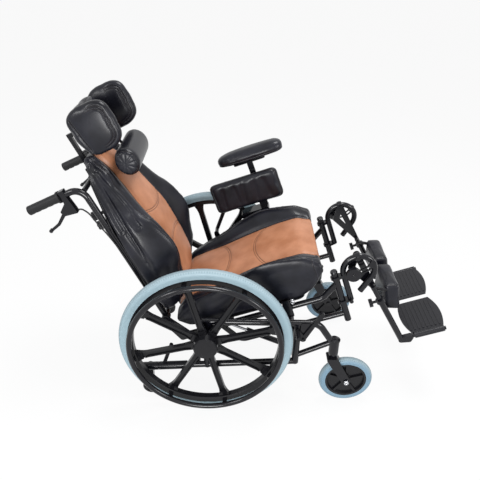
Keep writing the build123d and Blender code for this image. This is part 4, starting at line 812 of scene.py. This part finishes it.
along_back = cushion_grid(back_table, 84)
back_cushion = grid_object("back_cushion_cover", on_back(along_back[..., [2, 1, 0]]))
stuff(back_cushion, CUSHION_VOXEL, CUSHION_CAP, back_hold)
n, y, s = seen_from_back(read_points(back_cushion)).T
panel = 0.9 * np.interp(s, back_table[:, PLACE], back_table[:, SEAM])
from_crest = np.abs(y) - np.interp(s, back_table[:, PLACE], back_table[:, CREST_Y])
from_panel, from_welt = np.abs(y) - panel, from_crest - 6
arcs = nearer(np.hypot(s - 454, y) - 234, np.hypot(s + 95, y) - 200)
top = fade(n, 22, 40)
press(back_cushion, from_panel, *PANEL_GROOVE, top)
press(back_cushion, from_welt, 0.0025, 6.0, top)
sideways = np.stack([0 * y, -np.sign(y), 0 * y], 1)
on_bolster = fade(from_crest, -4, 10) * fade(s, 70, 200)
for depth, fold in FOLDS:
    press(back_cushion, line_distance(np.stack([s, n], 1), fold), depth, 8.0, on_bolster, sideways)
ease(back_cushion, 5)
press(back_cushion, arcs, *ARC_GROOVE, top * fade(-np.abs(y), -panel, -panel + 20))
store(back_cushion, "seam", np.where(n > 22, from_welt, 20))
store(back_cushion, "along", s)
store(back_cushion, "border", np.maximum(from_panel, 24 - n))
store(back_cushion, "arc", arcs)
dress(back_cushion, "back_cushion", "back", cushion_leather)

# %% [markdown]
# ## Pads
# The small pads are cut and sewn from a few panels over foam. A box with bevelled edges stays
# too flat, so they start as pillows: a rounded outline, swollen towards the middle and drawn in
# at the corners. Each is stuffed, then its welt is pressed in along the outline. Where a pad
# takes the place of a CAD node that has hinges or plates too, bars and blocks make these again.

# %% Pad helpers
PAD_VOXEL, PAD_FILL, ROUND_STEPS = 0.0045, 0.7, 24


def soft_power(value, power):
    return np.sign(value) * np.abs(value) ** power


def pillow(half, outline, profile, thin=1, rows=44, columns=88):
    """Superquadric: cosines and sines raised to small powers. Its thin axis is 0, 1 or 2."""
    up = np.linspace(-np.pi / 2, np.pi / 2, rows)[:, None]
    around = np.linspace(0, 2 * np.pi, columns, endpoint=False)[None, :]
    ring = soft_power(np.cos(up), profile)
    flat = [ring * soft_power(np.cos(around), outline), ring * soft_power(np.sin(around), outline)]
    flat.insert(thin, soft_power(np.sin(up), profile) * np.ones_like(around))
    return np.stack(flat, -1) * np.asarray(half, float)


def dress_pad(piece, node, body, seam, along):
    store(piece, "seam", seam)
    store(piece, "along", along)
    dress(piece, node, body, pad_leather)


def bar(name, start, end, radius, look, body):
    """Straight round bar between two points in metres, with a small chamfer at each end."""
    start, end = np.asarray(start, float), np.asarray(end, float)
    length = np.linalg.norm(end - start)
    chamfer = min(radius * 0.15, length * 0.2)
    profile = [(0, radius - chamfer), (chamfer, radius), (length - chamfer, radius),
               (length, radius - chamfer)]
    made = knob_object(name, profile, start, (end - start) / length, ROUND_STEPS)
    made.data.shade_flat()
    made.data.materials.append(look)
    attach(made, body)


def head_block(name, low, high):
    """Painted steel box of the headrest between two corners in the back's frame."""
    corners = np.array([(x, y, z) for x in (low[0], high[0]) for y in (low[1], high[1])
                        for z in (low[2], high[2])], float)
    faces = [(0, 1, 3, 2), (4, 6, 7, 5), (0, 4, 5, 1), (2, 3, 7, 6), (0, 2, 6, 4), (1, 5, 7, 3)]
    made = make_object(name, on_back(corners), faces, smooth=False)
    made.data.materials.append(black_paint)
    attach(made, "head_pad")


joint_of = {joint["name"]: joint for joint in frame["record"]["behaviour"]["joints"]}


def joint_bar(name, joint, low, high, radius, look, body):
    """Bar along a hinge's axis, from low to high millimetres past the hinge's own point."""
    at, axis = (np.array(joint_of[joint][key], float) for key in ("pos_m", "axis"))
    bar(name, at + axis * low / 1000, at + axis * high / 1000, radius, look, body)


# %% [markdown]
# ## Headrest pad
# A square pad on a steel plate, whose two ears carry the tilt hinge. The pad's back is held flat
# against the plate while it is stuffed, and a welt runs round both of its edges.

# %% Headrest pad and its steel plate
HEAD_HALF, HEAD_AT = (23.0, 90.0, 70.0), (70.0, 0.0, 578.5)
HEAD_WELTS, EAR_WIDTH = (12.0, -14.0), 5


def head_hold(points):
    """0 at the plate and 1 in front of it."""
    return fade(seen_from_back(points)[:, 0], 47, 60)


head_pad = grid_object("headrest_pad_cover", on_back(pillow(HEAD_HALF, 0.34, 0.4, thin=0) + HEAD_AT))
stuff(head_pad, PAD_VOXEL, 0.006, head_hold)
local = seen_from_back(read_points(head_pad)) - HEAD_AT
front_welt, rear_welt = (local[:, 0] - welt for welt in HEAD_WELTS)
press(head_pad, front_welt, 0.002, 4.0)
dress_pad(head_pad, "headrest_pad", "head_pad", nearer(front_welt, rear_welt), local[:, 1])
head_block("head_plate", (42, -97, 542), (46.6, 97, 602))
head_block("head_plate_ends", (42, -101, 559), (46, 101, 585))
for y in (7.3, -12.3):
    head_block(f"head_ear_{y}", (14, y, 557), (44, y + EAR_WIDTH, 580))

# %% [markdown]
# ## Headrest wings
# The wings are flat pads with a shape of their own, rounded at the top and cut away at the rear.
# No formula has that outline, so its corners are a short list. Each wing is the distance from
# its centre to that outline, by angle, times a swollen profile across its thickness.

# %% Headrest wings
WING_HALF, WING_AT = 24.0, (113.0, 127.0, 573.0)
WING_OUTLINE = [(61, 646), (117, 653), (168, 648), (184, 633), (188, 602), (188, 561), (181, 518),
                (154, 498), (110, 492), (70, 495), (46, 535), (40, 590), (43, 632)]
OUTLINE_STEPS, WELT_IN, WELT_WIDTH, REAR_SEAM = 360, 15, 9, 50
KNUCKLE_LONG, BARREL_HALF, HINGE_RADIUS = 15.4, 16, 0.005


def drawn(points, centre):
    """Radius of a drawn outline by angle, with its corners eased by a running mean."""
    away = np.asarray(points, float) - centre
    angle = np.arctan2(away[:, 1], away[:, 0])
    order = np.argsort(angle)
    fine = np.linspace(-np.pi, np.pi, OUTLINE_STEPS, endpoint=False)
    radius = np.interp(fine, angle[order], np.hypot(*away[order].T), period=2 * np.pi)
    eased = sum(np.roll(radius, k) for k in range(-7, 8)) / 15
    return lambda a: np.interp(a, fine, eased, period=2 * np.pi)


wing_radius = drawn(WING_OUTLINE, (WING_AT[0], WING_AT[2]))
up = np.linspace(-np.pi / 2, np.pi / 2, 44)[:, None]
around = np.linspace(0, 2 * np.pi, 96, endpoint=False)[None, :]
out = soft_power(np.cos(up), 0.5) * wing_radius(around)
thick = WING_HALF * soft_power(np.sin(up), 0.78) * np.ones_like(around)
wing_grid = np.stack([out * np.cos(around), thick, out * np.sin(around)], -1) + WING_AT
for side, sign in (("left", 1), ("right", -1)):
    wing = grid_object(f"wing_cover_{side}", on_back(wing_grid * (1, sign, 1)))
    stuff(wing, PAD_VOXEL, 0.006)
    local = seen_from_back(read_points(wing)) * (1, sign, 1) - WING_AT
    angle = np.arctan2(local[:, 2], local[:, 0])
    edge = np.hypot(local[:, 0], local[:, 2]) - wing_radius(angle) + WELT_IN
    inner = edge + WELT_WIDTH
    rear = local[:, 0] + REAR_SEAM + 0.12 * local[:, 2]
    face = fade(np.abs(local[:, 1]), 12, 18)
    front = face * fade(local[:, 0], 5, 40)
    press(wing, edge, 0.003, 5.0, front)
    press(wing, inner, 0.0015, 3.5, front)
    press(wing, rear, 0.005, 6.0, face * fade(-np.abs(local[:, 2]), -74, -50))
    ease(wing, 3)
    seam = np.where(local[:, 0] > 5, nearer(edge, inner), rear)
    seam = np.where(np.abs(local[:, 1]) > 10, seam, np.where(local[:, 0] > 0, 30, local[:, 1]))
    dress_pad(wing, f"headrest_wing_{side}", f"wing_{side}", seam, np.degrees(angle) * 1.3)
    hinge = f"wing_{side}_turn"
    for low in (-31.7, 16.3):
        joint_bar(f"wing_knuckle_{side}_{low}", hinge, low, low + KNUCKLE_LONG, HINGE_RADIUS, black_paint,
                  f"wing_{side}")
    joint_bar(f"wing_barrel_{side}", hinge, -BARREL_HALF, BARREL_HALF, HINGE_RADIUS, black_paint,
              "head_pad")

# %% [markdown]
# ## Neck roll
# A sausage of foam with a round panel sewn into each end. It is a circle carried along its
# length, smaller at the ends, and the gathers round each end seam are a sine of the angle.

# %% Neck roll
ROLL_AT, ROLL_HALF, END_LONG, END_SEAM = (136.0, 0.0, 428.0), 124.0, 16.0, 113.0
ROLL_DEEP, ROLL_HIGH, ROLL_STEPS = 41.0, 49.0, 72
end_run = ROLL_HALF - END_LONG * (1 - np.cos(np.radians([85, 70, 55, 40, 25, 10])))
along_y = np.concatenate([-end_run[::-1], np.linspace(-100, 100, 30), end_run])
end_size = 0.93 * np.sin(np.radians([25, 42, 56, 68, 78, 86])) ** 0.7
size = np.concatenate([end_size, np.ones(30), end_size[::-1]])[:, None]
angle = np.linspace(0, 2 * np.pi, ROLL_STEPS, endpoint=False)
roll_grid = np.stack([ROLL_AT[0] - 0.03 * along_y[:, None] + ROLL_DEEP * size * np.cos(angle),
                      np.repeat(along_y[:, None], ROLL_STEPS, 1),
                      ROLL_AT[2] + ROLL_HIGH * size * np.sin(angle)], -1)
roll = grid_object("neck_roll_cover", on_back(roll_grid))
stuff(roll, 0.005, 0.005)
local = seen_from_back(read_points(roll)) - ROLL_AT
end_seam = np.abs(local[:, 1]) - END_SEAM
press(roll, end_seam, 0.0022, 4.0)
swirl = np.arctan2(local[:, 2], local[:, 0])
press(roll, 10 * np.sin(5 * swirl + 0.6), 0.0012, 5.0, fade(np.abs(local[:, 1]), 108, 116))
dress_pad(roll, "neck_roll", "headrest", end_seam, swirl * 45)

# %% [markdown]
# ## Armrest pads
# The one armrest has a flat hip pad on its inside and a pad for the arm on top. The hip pad is a
# pillow with slack folds across its face. The arm pad is drawn by its plan, a width for each
# place along it, and its top rises more than its underside falls.

# %% Hip pad
HIP_HALF, HIP_AT, HIP_OUTLINE = (147.0, 15.0, 69.0), (-91.0, 246.5, 289.0), 0.24
HIP_FOLDS = ((-96, 0.1), (-42, -0.06), (-10, 0.12), (38, 0.05), (84, -0.15))


def hip_hold(points):
    """0 at the armrest frame and 1 on the inner face."""
    return fade(-seen_from_seat(points)[:, 1], -262, -256)


def reach(local, half, outline):
    """0 in the middle of an upright pillow's face and 1 at its outline."""
    scaled = np.abs(local[:, ::2] / np.asarray(half, float)[::2]) ** (2 / outline)
    return scaled.sum(1) ** (outline / 2)


hip = grid_object("hip_pad_cover", on_seat(pillow(HIP_HALF, HIP_OUTLINE, 0.36) + HIP_AT))
stuff(hip, PAD_VOXEL, 0.005, hip_hold)
local = seen_from_seat(read_points(hip)) - HIP_AT
hip_edge = (reach(local, HIP_HALF, HIP_OUTLINE) - 0.93) * 75
inner = fade(-local[:, 1], 6, 12)
press(hip, hip_edge, 0.002, 4.0, inner)
for number, (at, slope) in enumerate(HIP_FOLDS):
    press(hip, local[:, 0] - at - slope * local[:, 2], 0.003, 8.0 + number,
          inner * fade(-np.abs(local[:, 2]), -64, -30))
ease(hip, 3)
dress_pad(hip, "hip_pad", "seat", np.where(local[:, 1] < 0, hip_edge, 30), local[:, 0] + local[:, 2])

# %% Arm pad
ARM_Y, ARM_Z, ARM_WELT, ARM_STEPS = 290.0, 414.0, 415.0, 64
arm_plan = np.array([(-168, 8), (-164, 18), (-150, 26), (-120, 33), (-70, 38), (-20, 40), (40, 38),
                     (76, 33), (92, 25), (99, 16), (102, 7)], float)


def arm_hold(points):
    """0 at the bracket under the pad and 1 above it."""
    return fade(seen_from_seat(points)[:, 2], 402, 412)


run = 0.5 - 0.5 * np.cos(np.linspace(0.02, np.pi - 0.02, 60))
places = arm_plan[0, 0] + (arm_plan[-1, 0] - arm_plan[0, 0]) * run
wide = 1.06 * np.interp(places, arm_plan[:, 0], arm_plan[:, 1])[:, None]
rise = np.clip(wide / 36, 0.25, 1) ** 0.6
angle = np.linspace(0, 2 * np.pi, ARM_STEPS, endpoint=False)
across, lift = soft_power(np.cos(angle), 0.7), soft_power(np.sin(angle), 0.75)
arm_grid = np.stack([np.repeat(places[:, None], ARM_STEPS, 1),
                     ARM_Y + wide * across * np.where(across > 0, 1.3, 1.0),
                     ARM_Z + np.where(lift > 0, 33.0, 12.6) * lift * rise], -1)
arm_pad = grid_object("arm_pad_cover", on_seat(arm_grid))
stuff(arm_pad, 0.004, 0.003, arm_hold)
local = seen_from_seat(read_points(arm_pad))
from_welt = local[:, 2] - ARM_WELT
press(arm_pad, from_welt, 0.0018, 3.0)
dress_pad(arm_pad, "arm_pad", "arm_lift", from_welt, local[:, 0])

# %% [markdown]
# ## Calf pads
# Each calf pad is a shallow trough that cups the leg: its front is hollow, part of a circle, and
# its back is nearly flat. An even pillow is made first and its depth is then fitted between
# those two surfaces. Its hinge knuckle and lug are made again behind it.

# %% Calf pads
CALF_AT, CALF_END, HOLLOW = (670.0, 93.0, 421.0), 70, 100.0
LUG_AT, LUG_RADIUS, KNUCKLE_RADIUS = (642, 165), 0.006, 0.008
unit = pillow((1, 1, 1), 0.16, 0.14, rows=64, columns=120)
y = CALF_AT[1] + 78.5 * unit[..., 1]
z = CALF_AT[2] + 52 * unit[..., 2] + 2 * unit[..., 0] * unit[..., 2]
t = (z - 370) / 104
front = np.minimum(704 - 20 * t, 776 - np.sqrt(np.maximum(HOLLOW ** 2 - (y - CALF_AT[1]) ** 2, 0)))
rear = 638 - 4 * t
x = (front + rear) / 2 + unit[..., 0] * (front - rear) / 2
for side, sign in (("left", 1), ("right", -1)):
    calf = grid_object(f"calf_pad_cover_{side}", on_floor(np.stack([x, sign * y, z], -1)))
    stuff(calf, 0.004, 0.0025)
    local = seen_from_floor(read_points(calf)) * (1, sign, 1) - CALF_AT
    ends = np.abs(local[:, 1]) - CALF_END
    press(calf, ends, 0.0015, 3.5, fade(local[:, 0], -20, 10))
    dress_pad(calf, f"calf_pad_{side}", f"calf_{side}", ends, local[:, 2] + local[:, 0])
    hinge = f"calf_{side}_turn"
    turn_at = np.array(joint_of[hinge]["pos_m"], float)
    joint_bar(f"calf_knuckle_{side}", hinge, -12, 12, KNUCKLE_RADIUS, black_moulding, f"calf_{side}")
    lug = on_floor((LUG_AT[0], sign * LUG_AT[1], turn_at[2] * 1000 - 6))
    bar(f"calf_lug_{side}", (turn_at[0], sign * 0.166, turn_at[2]), lug, LUG_RADIUS, black_moulding,
        f"calf_{side}")

# %% [markdown]
# ## Bright hardware
# Small plated pieces catch the light, and the photograph shows them as bright points: the nuts of
# the caster axles and the thumb screw of the empty armrest socket. The bolts in the middle of the
# legrests' clamp knobs are painted. All are one dome: a profile of a few points turned round.

# %% Bolts and screws


def bolt(name, at, axis, radius, height, body, look=chrome):
    """Domed bolt head standing on a point along an axis."""
    t = np.radians([0, 25, 50, 75])
    dome = [(height * (0.55 + 0.45 * np.sin(a)), radius * (0.35 + 0.65 * np.cos(a))) for a in t]
    made = knob_object(name, [(0, radius), *dome], at, axis, ROUND_STEPS)
    made.data.materials.append(look)
    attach(made, body)
    print(made.name, "on", body)


for side, sign in (("left", 1), ("right", -1)):
    bolt(f"caster_nut_{side}", on_floor((CASTER_X, sign * 273, CASTER_Z)), (0, sign, 0), 0.009, 0.005,
         f"caster_{side}")
    bolt(f"elevate_bolt_{side}", on_seat((222, sign * 236.3, 82)), (0, sign, 0), 0.006, 0.003,
         f"legrest_{side}_lift", black_paint)
bolt("socket_screw", on_seat((-6, -232.5, 45)), (0, -1, 0), 0.008, 0.012, "seat")
